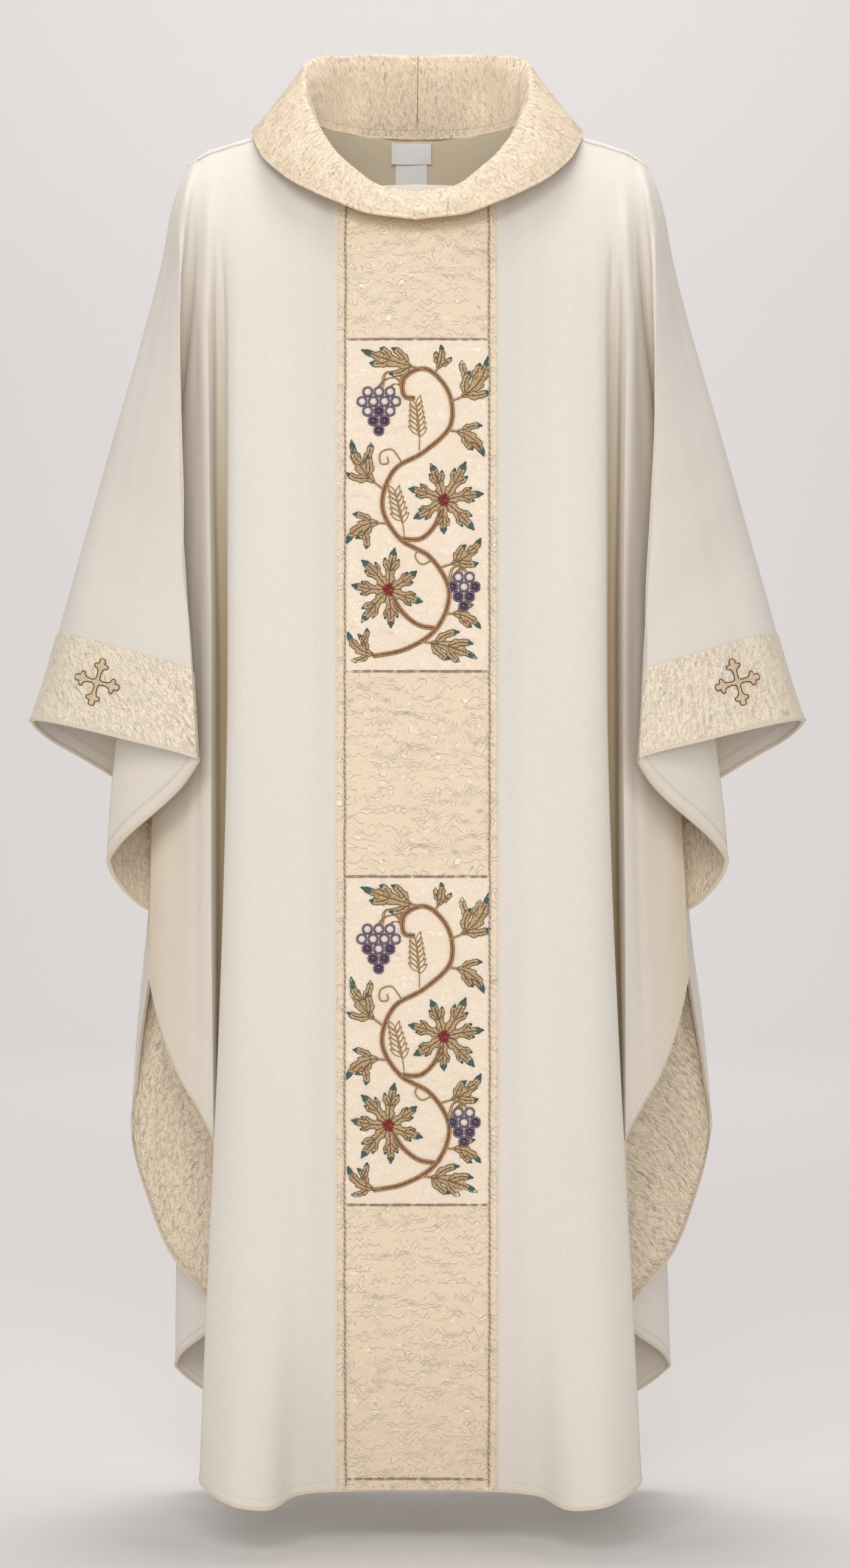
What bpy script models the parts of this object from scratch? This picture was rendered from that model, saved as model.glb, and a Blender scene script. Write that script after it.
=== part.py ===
# Chasuble, filled out and hanging as on a wearer, with nobody in it.
# Metres, +Z up, the front faces -Y. The origin is the middle of the neck at shoulder height.

import bpy
import numpy as np
from mathutils import Vector
from mathutils.bvhtree import BVHTree

# Cloth
WALL = 0.0018
TRIM = 0.0010
GAP = 0.0003
FACET_GAP = 0.0006

# Rows of a panel, from the seam down to the free edge
ROWS = 18
BAND_ROW = 15
LEVEL_ROW = 3
ROW_START = -0.03
ROW_EASE = 1.25
LEVEL_CLEAR = 0.012
ARC_SHARE = 0.45
SLOPE_STEP = 0.004
NECK_REACH = 0.099
CUFF_RISE = 0.084
FACING_RISE = 0.180
FACING_MARGIN = 0.005

# The right side hangs a little wider than the left below this height
SPREAD_FROM = -0.60
SPREAD_TO = -1.29
SPREAD_REACH = (0.08, 0.15)
RIGHT_SPREAD = 0.04

# Orphrey down the middle of the front
BRAID_WIDTH = 0.0032
ORPHREY_START = 0.15
ORPHREY_HEM_CLEAR = 0.001
BRAID_HEM_CLEAR = 0.004
CUT_CLEAR = 0.02
ORPHREY_JOINS = (-0.192, -0.507, -0.700, -1.008, -1.274)

# Cuff cross
CROSS_PLACE = (0.308, -0.515)
CROSS_TILT = 15.7
CROSS_ARM = 0.0045

# Labels: middle, half width, top and bottom
LABEL_MIDDLE = -0.0065
LABEL_GAP = 0.0010
LABELS = {"label_lower": (0.016, 0.031, -0.009, 1), "label_upper": (0.0205, 0.033, 0.013, 2)}

# Collar
COLLAR_WALL = 0.0020
COLLAR_STEPS = 44
COLLAR_SOFT = 0.011
COLLAR_BULGE = 0.004

# Strip inside the front of the collar
FACING_REACH = 0.036
FACING_TOP = -0.0385
FACING_LOW = -0.0600
FACING_CURVE = 0.0095
FACING_RAYS = (0.0005, 0.004, 0.007)

# Heights at which the fold lines are sized
LEVELS = (-0.04, -0.10, -0.30, -0.50, -0.70, -0.90, -1.10, -1.29)

# Fold lines of the front from the middle outward, one side. Each row holds
# name: columns, softness, (reach, depth, height) at the seam, height of the free edge,
# then the reach from the middle and the depth at each of the levels.
FRONT = {
    "middle": (1, 0.02, (0.000, -0.086, -0.064), -1.286,
               (0.000, 0.000, 0.000, 0.000, 0.000, 0.000, 0.000, 0.000),
               (-0.070, -0.106, -0.131, -0.140, -0.147, -0.151, -0.142, -0.099)),
    "quarter": (1, 0.02, (0.038, -0.079, -0.055), -1.286,
                (0.038, 0.038, 0.038, 0.038, 0.038, 0.038, 0.038, 0.038),
                (-0.072, -0.105, -0.130, -0.1395, -0.1467, -0.1507, -0.142, -0.0995)),
    "braid": (1, 0.02, (0.068, -0.056, -0.030), -1.287,
              (0.068, 0.068, 0.068, 0.068, 0.068, 0.068, 0.068, 0.068),
              (-0.063, -0.102, -0.128, -0.1385, -0.146, -0.150, -0.142, -0.1010)),
    "orphrey": (1, 0.02, (0.0757, -0.048, -0.018), -1.287,
                (0.0757, 0.0757, 0.0757, 0.0757, 0.0757, 0.0757, 0.0757, 0.0757),
                (-0.062, -0.101, -0.1275, -0.138, -0.1458, -0.1498, -0.1418, -0.1015)),
    "neck": (1, 0.02, (0.100, 0.000, 0.034), -1.289,
             (0.105, 0.108, 0.108, 0.106, 0.107, 0.108, 0.110, 0.114),
             (-0.058, -0.092, -0.125, -0.137, -0.145, -0.149, -0.145, -0.112)),
    "lobe": (2, 0.020, (0.145, 0.000, 0.026), -1.297,
             (0.150, 0.150, 0.148, 0.147, 0.148, 0.149, 0.150, 0.152),
             (-0.050, -0.079, -0.119, -0.135, -0.145, -0.152, -0.159, -0.168)),
    "side": (3, 0.016, (0.170, 0.000, 0.019), -1.277,
             (0.178, 0.180, 0.179, 0.178, 0.182, 0.190, 0.199, 0.207),
             (-0.044, -0.071, -0.106, -0.118, -0.120, -0.120, -0.120, -0.118)),
    "cleft inner": (1, 0.006, (0.184, 0.000, 0.015), -1.060,
                    (0.188, 0.188, 0.182, 0.179, 0.179, 0.180, 0.182, 0.182),
                    (-0.041, -0.064, -0.050, -0.037, -0.032, -0.038, -0.056, -0.060)),
    "cleft outer": (1, 0.006, (0.190, 0.000, 0.013), -1.010,
                    (0.194, 0.195, 0.194, 0.192, 0.192, 0.195, 0.198, 0.198),
                    (-0.040, -0.063, -0.048, -0.035, -0.030, -0.036, -0.050, -0.054)),
    "ridge": (2, 0.010, (0.196, 0.000, 0.011), -0.955,
              (0.200, 0.202, 0.199, 0.197, 0.197, 0.195, 0.193, 0.193),
              (-0.040, -0.068, -0.080, -0.082, -0.082, -0.078, -0.078, -0.078)),
    "apron": (1, 0.010, (0.200, 0.000, 0.010), -0.888,
              (0.204, 0.207, 0.217, 0.226, 0.230, 0.234, 0.234, 0.234),
              (-0.038, -0.061, -0.060, -0.050, -0.046, -0.045, -0.045, -0.045)),
    "apron fold": (3, 0.009, (0.203, 0.000, 0.009), -0.795,
                   (0.208, 0.211, 0.236, 0.254, 0.262, 0.266, 0.266, 0.266),
                   (-0.036, -0.055, -0.040, -0.018, -0.012, -0.012, -0.012, -0.012)),
    "hollow": (2, 0.008, (0.207, 0.000, 0.007), -0.757,
               (0.212, 0.215, 0.226, 0.234, 0.240, 0.242, 0.242, 0.242),
               (-0.034, -0.046, -0.010, 0.022, 0.034, 0.036, 0.036, 0.036)),
    "inner sleeve": (2, 0.012, (0.210, 0.000, 0.005), -0.722,
                     (0.216, 0.223, 0.247, 0.272, 0.288, 0.290, 0.290, 0.290),
                     (-0.033, -0.045, -0.020, 0.000, 0.010, 0.012, 0.012, 0.012)),
    "sleeve return": (3, 0.010, (0.213, 0.000, 0.003), -0.687,
                      (0.220, 0.228, 0.256, 0.285, 0.303, 0.304, 0.304, 0.304),
                      (-0.035, -0.050, -0.036, -0.032, -0.028, -0.028, -0.028, -0.028)),
    "sleeve fold": (4, 0.016, (0.217, 0.000, 0.000), -0.589,
                    (0.224, 0.2265, 0.2235, 0.211, 0.202, 0.200, 0.200, 0.200),
                    (-0.040, -0.068, -0.096, -0.102, -0.104, -0.104, -0.104, -0.104)),
    "sleeve": (2, 0.030, (0.220, 0.000, -0.002), -0.564,
               (0.231, 0.240, 0.268, 0.292, 0.312, 0.312, 0.312, 0.312),
               (-0.024, -0.042, -0.066, -0.076, -0.080, -0.080, -0.080, -0.080)),
    "sleeve crown": (2, 0.018, (0.2225, 0.000, -0.004), -0.5505,
                     (0.2365, 0.2475, 0.299, 0.350, 0.404, 0.404, 0.404, 0.404),
                     (-0.012, -0.021, -0.033, -0.040, -0.042, -0.042, -0.042, -0.042)),
    "arm": (1, 0.0, (0.225, 0.000, -0.0065), -0.551,
            (0.239, 0.2505, 0.306, 0.3625, 0.419, 0.419, 0.419, 0.419),
            (0.000, 0.000, 0.000, 0.000, 0.000, 0.000, 0.000, 0.000)),
}

# Fold lines of the back, in the same columns
BACK = {
    "middle": (1, 0.02, (0.000, 0.085, 0.036), -1.293,
               (0.000, 0.000, 0.000, 0.000, 0.000, 0.000, 0.000, 0.000),
               (0.105, 0.118, 0.140, 0.145, 0.150, 0.155, 0.162, 0.170)),
    "quarter": (1, 0.02, (0.060, 0.064, 0.036), -1.292,
                (0.058, 0.057, 0.057, 0.057, 0.057, 0.057, 0.058, 0.060),
                (0.099, 0.115, 0.138, 0.144, 0.150, 0.156, 0.164, 0.173)),
    "neck": (2, 0.020, (0.100, 0.000, 0.034), -1.285,
             (0.108, 0.112, 0.116, 0.118, 0.120, 0.122, 0.125, 0.130),
             (0.070, 0.096, 0.126, 0.137, 0.147, 0.157, 0.167, 0.177)),
    "blade": (2, 0.020, (0.150, 0.000, 0.025), -1.262,
              (0.160, 0.165, 0.170, 0.172, 0.175, 0.178, 0.182, 0.185),
              (0.050, 0.074, 0.105, 0.121, 0.135, 0.149, 0.162, 0.171)),
    "back fold": (3, 0.012, (0.185, 0.000, 0.0145), -1.212,
                  (0.197, 0.203, 0.216, 0.229, 0.238, 0.245, 0.250, 0.254),
                  (0.036, 0.056, 0.086, 0.108, 0.125, 0.140, 0.150, 0.152)),
    "back hollow": (3, 0.010, (0.195, 0.000, 0.011), -1.150,
                    (0.205, 0.208, 0.196, 0.184, 0.176, 0.180, 0.197, 0.205),
                    (0.030, 0.046, 0.062, 0.070, 0.074, 0.076, 0.080, 0.082)),
    "wing": (2, 0.014, (0.200, 0.000, 0.0095), -1.069,
             (0.210, 0.214, 0.216, 0.221, 0.228, 0.245, 0.265, 0.265),
             (0.027, 0.041, 0.060, 0.072, 0.080, 0.088, 0.094, 0.094)),
    "wing fold": (3, 0.010, (0.205, 0.000, 0.008), -0.972,
                  (0.215, 0.221, 0.237, 0.254, 0.268, 0.289, 0.297, 0.297),
                  (0.025, 0.039, 0.065, 0.082, 0.092, 0.100, 0.100, 0.100)),
    "under hollow": (2, 0.010, (0.213, 0.000, 0.003), -0.635,
                     (0.222, 0.229, 0.241, 0.251, 0.259, 0.260, 0.260, 0.260),
                     (0.021, 0.031, 0.041, 0.048, 0.052, 0.052, 0.052, 0.052)),
    "under sleeve": (2, 0.030, (0.219, 0.000, -0.001), -0.594,
                     (0.231, 0.240, 0.273, 0.306, 0.330, 0.330, 0.330, 0.330),
                     (0.015, 0.024, 0.038, 0.045, 0.048, 0.048, 0.048, 0.048)),
    "under crown": (2, 0.018, (0.2225, 0.000, -0.004), -0.564,
                    (0.2365, 0.2475, 0.299, 0.352, 0.405, 0.405, 0.405, 0.405),
                    (0.010, 0.016, 0.024, 0.028, 0.030, 0.030, 0.030, 0.030)),
    "arm": FRONT["arm"],
}
TALL_FACING = ("back hollow", "wing", "wing fold")

# Collar, from the middle of the back round to the middle of the front.
# Each row: (reach, depth, height) of the neck seam, of the roll and of the lower edge.
COLLAR = (
    ((0.000, 0.085, 0.038), (0.000, 0.106, 0.130), (0.000, 0.128, 0.046)),
    ((0.045, 0.076, 0.038), (0.050, 0.104, 0.131), (0.062, 0.122, 0.046)),
    ((0.075, 0.050, 0.038), (0.090, 0.090, 0.127), (0.112, 0.100, 0.046)),
    ((0.093, 0.024, 0.038), (0.112, 0.056, 0.108), (0.148, 0.056, 0.042)),
    ((0.100, 0.000, 0.036), (0.111, 0.016, 0.076), (0.163, 0.008, 0.030)),
    ((0.092, -0.026, 0.010), (0.100, -0.020, 0.042), (0.152, -0.036, -0.001)),
    ((0.0757, -0.049, -0.016), (0.084, -0.050, 0.010), (0.123, -0.076, -0.032)),
    ((0.050, -0.071, -0.043), (0.057, -0.076, -0.020), (0.082, -0.104, -0.056)),
    ((0.026, -0.082, -0.056), (0.030, -0.089, -0.039), (0.042, -0.118, -0.072)),
    ((0.000, -0.0855, -0.0610), (0.000, -0.092, -0.044), (0.000, -0.122, -0.078)),
)

# Colours and roughness
IVORY = (0.80, 0.76, 0.68)
BROCADE = (0.83, 0.73, 0.54)
WHITE = (0.85, 0.84, 0.82)
GOLD_BROWN = (0.52, 0.37, 0.22)
BRAID_BROWN = (0.55, 0.44, 0.36)
PLAIN_FINISH = 0.7
SILK_FINISH = 0.45
THREAD_FINISH = 0.6


def clear_scene():
    for thing in list(bpy.data.objects):
        bpy.data.objects.remove(thing, do_unlink=True)


def material(name, colour, roughness):
    made = bpy.data.materials.new(name)
    made.use_nodes = True
    shader = made.node_tree.nodes["Principled BSDF"]
    shader.inputs["Base Color"].default_value = (*colour, 1.0)
    shader.inputs["Roughness"].default_value = roughness
    shader.inputs["Metallic"].default_value = 0.0
    return made


def smooth_value(knots, values, at):
    """Smooth curve through values that never swings past them; knots rise."""
    steps = np.diff(knots)
    slopes = np.diff(values) / steps
    bends = np.zeros(len(values))
    bends[0], bends[-1] = slopes[0], slopes[-1]
    for k in range(1, len(values) - 1):
        if slopes[k - 1] * slopes[k] > 0:
            bends[k] = 2 * slopes[k - 1] * slopes[k] / (slopes[k - 1] + slopes[k])
    at = min(max(at, knots[0]), knots[-1])
    k = min(int(np.searchsorted(knots, at, side="right")) - 1, len(steps) - 1)
    t = (at - knots[k]) / steps[k]
    rise = values[k + 1] - values[k]
    cubic = t * (1 - t) * ((1 - t) * (bends[k] * steps[k] - rise) - t * (bends[k + 1] * steps[k] - rise))
    return values[k] + t * rise + cubic


def row_height(top, end, rise, row):
    """Height of a row on a fold line. Rows past LEVEL_ROW are level where the free edge is,
    and BAND_ROW lies a set rise above the free edge."""
    if row > BAND_ROW:
        return end + rise * (ROWS - row) / (ROWS - BAND_ROW)
    level = ROW_START + (end + rise - ROW_START) * (row / BAND_ROW) ** ROW_EASE
    return level + (top - ROW_START) * max(1 - row / LEVEL_ROW, 0)


def fold_place(fold, height):
    """Reach and depth of a fold line at a height, also past its free edge."""
    reach, depth, top = fold[2]
    used = [k for k, level in enumerate(LEVELS) if level < top - LEVEL_CLEAR]
    knots = [-top] + [-LEVELS[k] for k in used]
    return np.array([smooth_value(knots, [start] + [sizes[k] for k in used], -height)
                     for start, sizes in ((reach, fold[4]), (depth, fold[5]))])


def section(folds, names, k, share, height):
    """Point of a level section in the arc of fold k, its direction there, and the arc's reach."""
    corner = fold_place(folds[names[k]], height)
    before = fold_place(folds[names[k - 1]], height) if k else corner * (-1, 1) - (0.01, 0)
    after = fold_place(folds[names[min(k + 1, len(names) - 1)]], height)
    if k == len(names) - 1:
        return corner, unit(corner - before), (0, 0)
    back, ahead = np.linalg.norm(before - corner), np.linalg.norm(after - corner)
    if folds[names[k]][0] == 1:
        return corner, unit(unit(corner - before) + unit(after - corner)), (0, 0)
    near = [min(folds[names[k]][1] / length, ARC_SHARE) for length in (back, ahead)]
    start, stop = corner + (before - corner) * near[0], corner + (after - corner) * near[1]
    point = (1 - share) ** 2 * start + 2 * share * (1 - share) * corner + share ** 2 * stop
    return point, unit((1 - share) * (corner - start) + share * (stop - corner)), near


def half_grid(folds, rises):
    """Rows of points from the middle out to the arm, their normals, and each fold's columns."""
    names = list(folds)
    grid, normals = [], []
    for row in range(ROWS + 1):
        heights = [row_height(folds[name][2][2], folds[name][3], rises.get(name, CUFF_RISE), row)
                   for name in names]
        line, tilts = [], []
        for k, name in enumerate(names):
            for share in np.linspace(0, 1, folds[name][0]) if folds[name][0] > 1 else (0.5,):
                near = section(folds, names, k, share, heights[k])[2]
                height = heights[k] + max(1 - 2 * share, 0) * near[0] * (heights[k - 1] - heights[k])
                if share > 0.5:
                    height += (2 * share - 1) * near[1] * (heights[k + 1] - heights[k])
                point, direction, _ = section(folds, names, k, share, height)
                below = section(folds, names, k, share, height - SLOPE_STEP)[0]
                down = np.array((*(below - point), -SLOPE_STEP))
                line.append((*point, height))
                tilts.append(np.cross((*direction, 0), down))
        grid.append(line)
        normals.append(tilts)
    columns = {}
    place = 0
    for name in names:
        columns[name] = (place, place + folds[name][0] - 1)
        place += folds[name][0]
    return np.array(grid), unit(np.array(normals)), columns


def set_side(grid, side):
    """Half grid placed left (-1) or right (+1) of the middle."""
    placed = grid.copy()
    drop = np.clip((SPREAD_FROM - grid[:, :, 2]) / (SPREAD_FROM - SPREAD_TO), 0, 1)
    outer = np.clip((grid[:, :, 0] - SPREAD_REACH[0]) / (SPREAD_REACH[1] - SPREAD_REACH[0]), 0, 1)
    wider = 1 + RIGHT_SPREAD * drop * outer if side > 0 else 1
    placed[:, :, 0] = side * grid[:, :, 0] * wider
    return placed


def whole_grid(half, normals):
    """Both sides of a panel, left to right, with the normals turned to the outer face."""
    grid = np.concatenate((set_side(half, -1)[:, :0:-1], set_side(half, 1)), axis=1)
    tilts = np.concatenate((normals[:, :0:-1] * (-1, 1, 1), normals), axis=1)
    outer = np.sign(tilts[len(half) // 2, grid.shape[1] // 2, 1] * grid[len(half) // 2, grid.shape[1] // 2, 1])
    return grid, tilts * outer


def unit(vectors):
    return vectors / np.linalg.norm(vectors, axis=-1, keepdims=True)


def facing(grid, toward):
    """Unit normals of a grid, turned toward a direction."""
    normals = unit(np.cross(np.gradient(grid, axis=0), np.gradient(grid, axis=1)))
    middle = normals[len(grid) // 2, grid.shape[1] // 2]
    return normals if np.dot(middle, toward) > 0 else -normals


def seam_normals(grid, normals, gap_side):
    """Shoulder and arm edges are square to the depth, so that front and back butt."""
    shoulder = np.abs(grid[0, :, 0]) > NECK_REACH
    square = normals.copy()
    square[0, shoulder, 1] = 0
    square[0, shoulder, 2] = np.abs(square[0, shoulder, 2])
    moved = grid.copy()
    moved[0, shoulder, 1] = gap_side * GAP / 2
    for column, beside in ((0, 1), (-1, -2)):
        square[:, column, 1] = 0
        square[0, column] = square[0, beside] + square[1, column]
        moved[:, column, 1] = gap_side * GAP / 2
    return moved, unit(square)


def add_solid(name, corners, faces, colour, roughness):
    mesh = bpy.data.meshes.new(name)
    mesh.from_pydata([tuple(corner) for corner in corners], [], faces)
    mesh.update()
    mesh.materials.append(material(name + "_cloth", colour, roughness))
    made = bpy.data.objects.new(name, mesh)
    bpy.context.collection.objects.link(made)
    return made


def grid_faces(rows, columns, start, flip):
    faces = []
    for row in range(rows - 1):
        for column in range(columns - 1):
            a = start + row * columns + column
            b = a + 1
            c = a + columns + 1
            d = a + columns
            pair = [(a, b, c), (a, c, d)]
            faces += [face[::-1] for face in pair] if flip else pair
    return faces


def rim_faces(rows, columns, offset, flip):
    top = list(range(columns))
    right = [row * columns + columns - 1 for row in range(1, rows)]
    bottom = [(rows - 1) * columns + column for column in range(columns - 2, -1, -1)]
    left = [row * columns for row in range(rows - 2, 0, -1)]
    loop = top + right + bottom + left
    faces = []
    for here, there in zip(loop, loop[1:] + loop[:1]):
        pair = [(here, here + offset, there + offset), (here, there + offset, there)]
        faces += [face[::-1] for face in pair] if flip else pair
    return faces


def wall(name, grid, normals, low, high, colour, roughness):
    """Closed wall between two offsets of a grid along its normals."""
    rows, columns = grid.shape[:2]
    count = rows * columns
    corners = np.concatenate(((grid + normals * high).reshape(-1, 3), (grid + normals * low).reshape(-1, 3)))
    down = grid[1, columns // 2] - grid[0, columns // 2]
    along = grid[0, columns // 2 + 1 if columns > 2 else 1] - grid[0, columns // 2 if columns > 2 else 0]
    flip = np.dot(np.cross(along, down), normals[0, columns // 2]) < 0
    faces = grid_faces(rows, columns, 0, flip)
    faces += grid_faces(rows, columns, count, not flip)
    faces += rim_faces(rows, columns, count, flip)
    return add_solid(name, corners, faces, colour, roughness)


def row_share(grid, column, height):
    """Row, with its fraction, at which a column of the grid has a height."""
    heights = -grid[:, column, 2]
    return float(np.interp(-height, heights, np.arange(len(heights))))


def cut_rows(grid, normals, columns, top, bottom):
    """Part of a grid between two heights, cut straight; with no top it starts just under the neck seam."""
    points, tilts = [], []
    for column in columns:
        first = ORPHREY_START if top is None else row_share(grid, column, top)
        last = row_share(grid, column, bottom)
        points.append((first, last))
    inside = range(int(np.ceil(max(first for first, _ in points) + CUT_CLEAR)),
                   int(np.floor(min(last for _, last in points) - CUT_CLEAR)) + 1)
    lines = []
    for (first, last), column in zip(points, columns):
        stations = [first] + list(inside) + [last]
        whole = np.arange(len(grid))
        lines.append([[np.interp(station, whole, grid[:, column, axis]) for axis in range(3)]
                      for station in stations])
        tilts.append([[np.interp(station, whole, normals[:, column, axis]) for axis in range(3)]
                      for station in stations])
    return np.array(lines).transpose(1, 0, 2), unit(np.array(tilts).transpose(1, 0, 2))


def narrow(grid, left, right):
    """Pull the first and last column of a strip inward along its rows."""
    drawn = grid.copy()
    drawn[:, 0] += unit(grid[:, 1] - grid[:, 0]) * left
    drawn[:, -1] += unit(grid[:, -2] - grid[:, -1]) * right
    return drawn


def build_front(grid, normals):
    return wall("front", grid, normals, -WALL / 2, WALL / 2, IVORY, PLAIN_FINISH)


def build_back(grid, normals):
    return wall("back", grid, normals, -WALL / 2, WALL / 2, IVORY, PLAIN_FINISH)


def orphrey_columns(columns, middle):
    """Column numbers of the whole grid, by the name of the fold on each side."""
    place = {}
    for name in ("quarter", "braid", "orphrey"):
        place[name] = (middle - columns[name][0], middle + columns[name][0])
    return place


def build_orphrey(grid, normals, columns):
    middle = grid.shape[1] // 2
    place = orphrey_columns(columns, middle)
    low = WALL / 2 + FACET_GAP
    spans = (None,) + ORPHREY_JOINS + (grid[-1, middle, 2] + ORPHREY_HEM_CLEAR,)
    names = ("orphrey_top", "orphrey_vine_upper", "orphrey_middle", "orphrey_vine_lower",
             "orphrey_bottom", "orphrey_hem")
    inner = range(place["braid"][0], place["braid"][1] + 1)
    for name, top, bottom in zip(names, spans, spans[1:]):
        first = top if top is None else top - GAP / 2
        part, tilt = cut_rows(grid, normals, inner, first, bottom + GAP / 2)
        part = narrow(part, GAP / 2, GAP / 2)
        wall(name, part, tilt, low, low + TRIM, BROCADE, SILK_FINISH)
    build_borders(grid, normals, place, low)
    build_braids(grid, normals, place, low + TRIM + FACET_GAP)


def build_borders(grid, normals, place, low):
    sides = {"orphrey_border_left": (place["orphrey"][0], place["braid"][0]),
             "orphrey_border_right": (place["braid"][1], place["orphrey"][1])}
    bottom = grid[-1, grid.shape[1] // 2, 2] + ORPHREY_HEM_CLEAR
    for name, span in sides.items():
        part, tilt = cut_rows(grid, normals, range(span[0], span[1] + 1), None, bottom)
        outer_left = name.endswith("left")
        part = narrow(part, 0 if outer_left else GAP / 2, GAP / 2 if outer_left else 0)
        wall(name, part, tilt, low, low + TRIM, BROCADE, SILK_FINISH)


def build_braids(grid, normals, place, low):
    half = BRAID_WIDTH / 2
    bottom = grid[-1, grid.shape[1] // 2, 2] + BRAID_HEM_CLEAR
    for name, column, step in (("orphrey_braid_left", place["braid"][0], 1),
                               ("orphrey_braid_right", place["braid"][1], -1)):
        part, tilt = cut_rows(grid, normals, (column, column + step), None, bottom)
        across = unit(part[:, 1] - part[:, 0])
        strip = np.stack((part[:, 0] - across * half, part[:, 0] + across * half), axis=1)
        wall(name, strip, np.stack((tilt[:, 0], tilt[:, 0]), axis=1), low, low + TRIM, BRAID_BROWN, THREAD_FINISH)
    inner = range(place["braid"][0], place["braid"][1] + 1)
    for number, height in enumerate(ORPHREY_JOINS):
        part, tilt = cut_rows(grid, normals, inner, height + half, height - half)
        part = narrow(part, half + GAP, half + GAP)
        wall("orphrey_cross_braid_%d" % (number + 1), part, tilt, low, low + TRIM, BRAID_BROWN, THREAD_FINISH)


def side_columns(columns, first, last, middle, side):
    """Column numbers of a span of folds on one side of a whole grid, in rising order."""
    span = [middle + side * k for k in range(columns[first][0], columns[last][1] + 1)]
    return sorted(span)


def build_cuff(name, grid, normals, span):
    """Band of brocade along the free edge, on the outer face."""
    rows = slice(BAND_ROW, ROWS + 1)
    part = grid[rows, span[0]:span[-1] + 1]
    tilt = normals[rows, span[0]:span[-1] + 1]
    low = WALL / 2 + GAP
    wall(name, part, tilt, low, low + TRIM, BROCADE, SILK_FINISH)
    return part + tilt * (low + TRIM)


def build_cuffs(front, front_normals, front_columns, back, back_normals, back_columns):
    faces = {}
    for word, side in (("left", -1), ("right", 1)):
        middle = front.shape[1] // 2
        span = side_columns(front_columns, "hollow", "arm", middle, side)
        faces[side] = build_cuff("cuff_front_" + word, front, front_normals, span)
        middle = back.shape[1] // 2
        span = side_columns(back_columns, "under hollow", "arm", middle, side)
        build_cuff("cuff_back_" + word, back, back_normals, span)
    return faces


def build_facings(grid, normals, columns):
    """Brocade on the inner face of the back's cascading side edges."""
    middle = grid.shape[1] // 2
    for word, side in (("left", -1), ("right", 1)):
        span = side_columns(columns, "back hollow", "under hollow", middle, side)
        part = grid[BAND_ROW:, span[0]:span[-1] + 1].copy()
        tilt = -normals[BAND_ROW:, span[0]:span[-1] + 1]
        part[-1] += unit(part[-2] - part[-1]) * FACING_MARGIN
        low = WALL / 2 + GAP
        wall("back_facing_" + word, part, tilt, low, low + TRIM, BROCADE, SILK_FINISH)


def cross_outline():
    """Stations along one arm of a budded cross: distance from the middle, half width."""
    stations = [(CROSS_ARM, CROSS_ARM), (0.0080, 0.0036), (0.0115, 0.0040)]
    stations += [(0.0135, 0.0068), (0.0155, 0.0084), (0.0175, 0.0070)]
    stations += [(0.0190, 0.0042), (0.0212, 0.0034), (0.0230, 0.0016)]
    return stations


def cross_plan():
    """Flat budded cross as points and triangles round the middle."""
    points, faces, index = [], [], {}

    def point(x, y):
        key = (round(x, 6), round(y, 6))
        if key not in index:
            index[key] = len(points)
            points.append((x, y))
        return index[key]

    for turn in range(4):
        c, s = ((1, 0), (0, 1), (-1, 0), (0, -1))[turn]
        rows = []
        for far, half in cross_outline():
            rows.append([point(c * far - s * w, s * far + c * w) for w in (-half, 0, half)])
        faces += [(point(0, 0), rows[0][0], rows[0][1]), (point(0, 0), rows[0][1], rows[0][2])]
        for near, beyond in zip(rows, rows[1:]):
            for k in (0, 1):
                faces += [(near[k], beyond[k], beyond[k + 1]), (near[k], beyond[k + 1], near[k + 1])]
    return points, faces


def surface_tree(face):
    rows, columns = face.shape[:2]
    corners = [Vector(corner) for corner in face.reshape(-1, 3)]
    return BVHTree.FromPolygons(corners, grid_faces(rows, columns, 0, False))


def build_crosses(cuff_faces):
    plan, plan_faces = cross_plan()
    for word, side in (("left", -1), ("right", 1)):
        tree = surface_tree(cuff_faces[side])
        place = Vector((side * CROSS_PLACE[0], 0, CROSS_PLACE[1]))
        tilt = np.radians(CROSS_TILT) * side
        start = Vector((0, -1, 0))
        normal = tree.ray_cast(place + start, Vector((0, 1, 0)))[1]
        normal = normal if normal.y < 0 else -normal
        inner, outer = [], []
        for x, y in plan:
            shift = Vector((x * np.cos(tilt) - y * np.sin(tilt), 0, x * np.sin(tilt) + y * np.cos(tilt)))
            hit = tree.ray_cast(place + shift + start, Vector((0, 1, 0)))[0]
            inner.append(hit + normal * FACET_GAP)
            outer.append(hit + normal * (FACET_GAP + TRIM))
        solid_from_plan("cuff_cross_" + word, inner, outer, plan_faces)


def solid_from_plan(name, inner, outer, plan_faces):
    count = len(inner)
    edges = {}
    for face in plan_faces:
        for here, there in zip(face, face[1:] + face[:1]):
            edges[(here, there)] = True
    faces = [tuple(corner + count for corner in face) for face in plan_faces]
    faces += [face[::-1] for face in plan_faces]
    for here, there in edges:
        if (there, here) not in edges:
            faces += [(here, there, there + count), (here, there + count, here + count)]
    corners = [tuple(corner) for corner in inner + outer]
    first = Vector(corners[count]) - Vector(corners[0])
    a, b, c = (Vector(corners[k + count]) for k in plan_faces[0])
    if (b - a).cross(c - a).dot(first) < 0:
        faces = [face[::-1] for face in faces]
    add_solid(name, corners, faces, GOLD_BROWN, THREAD_FINISH)


def rounded(before, corner, after, soft):
    """Start, crest and stop of the arc that eases a corner."""
    start = corner + unit(before - corner) * min(soft, ARC_SHARE * np.linalg.norm(before - corner))
    stop = corner + unit(after - corner) * min(soft, ARC_SHARE * np.linalg.norm(after - corner))
    return start, 0.25 * start + 0.5 * corner + 0.25 * stop, stop


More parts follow.
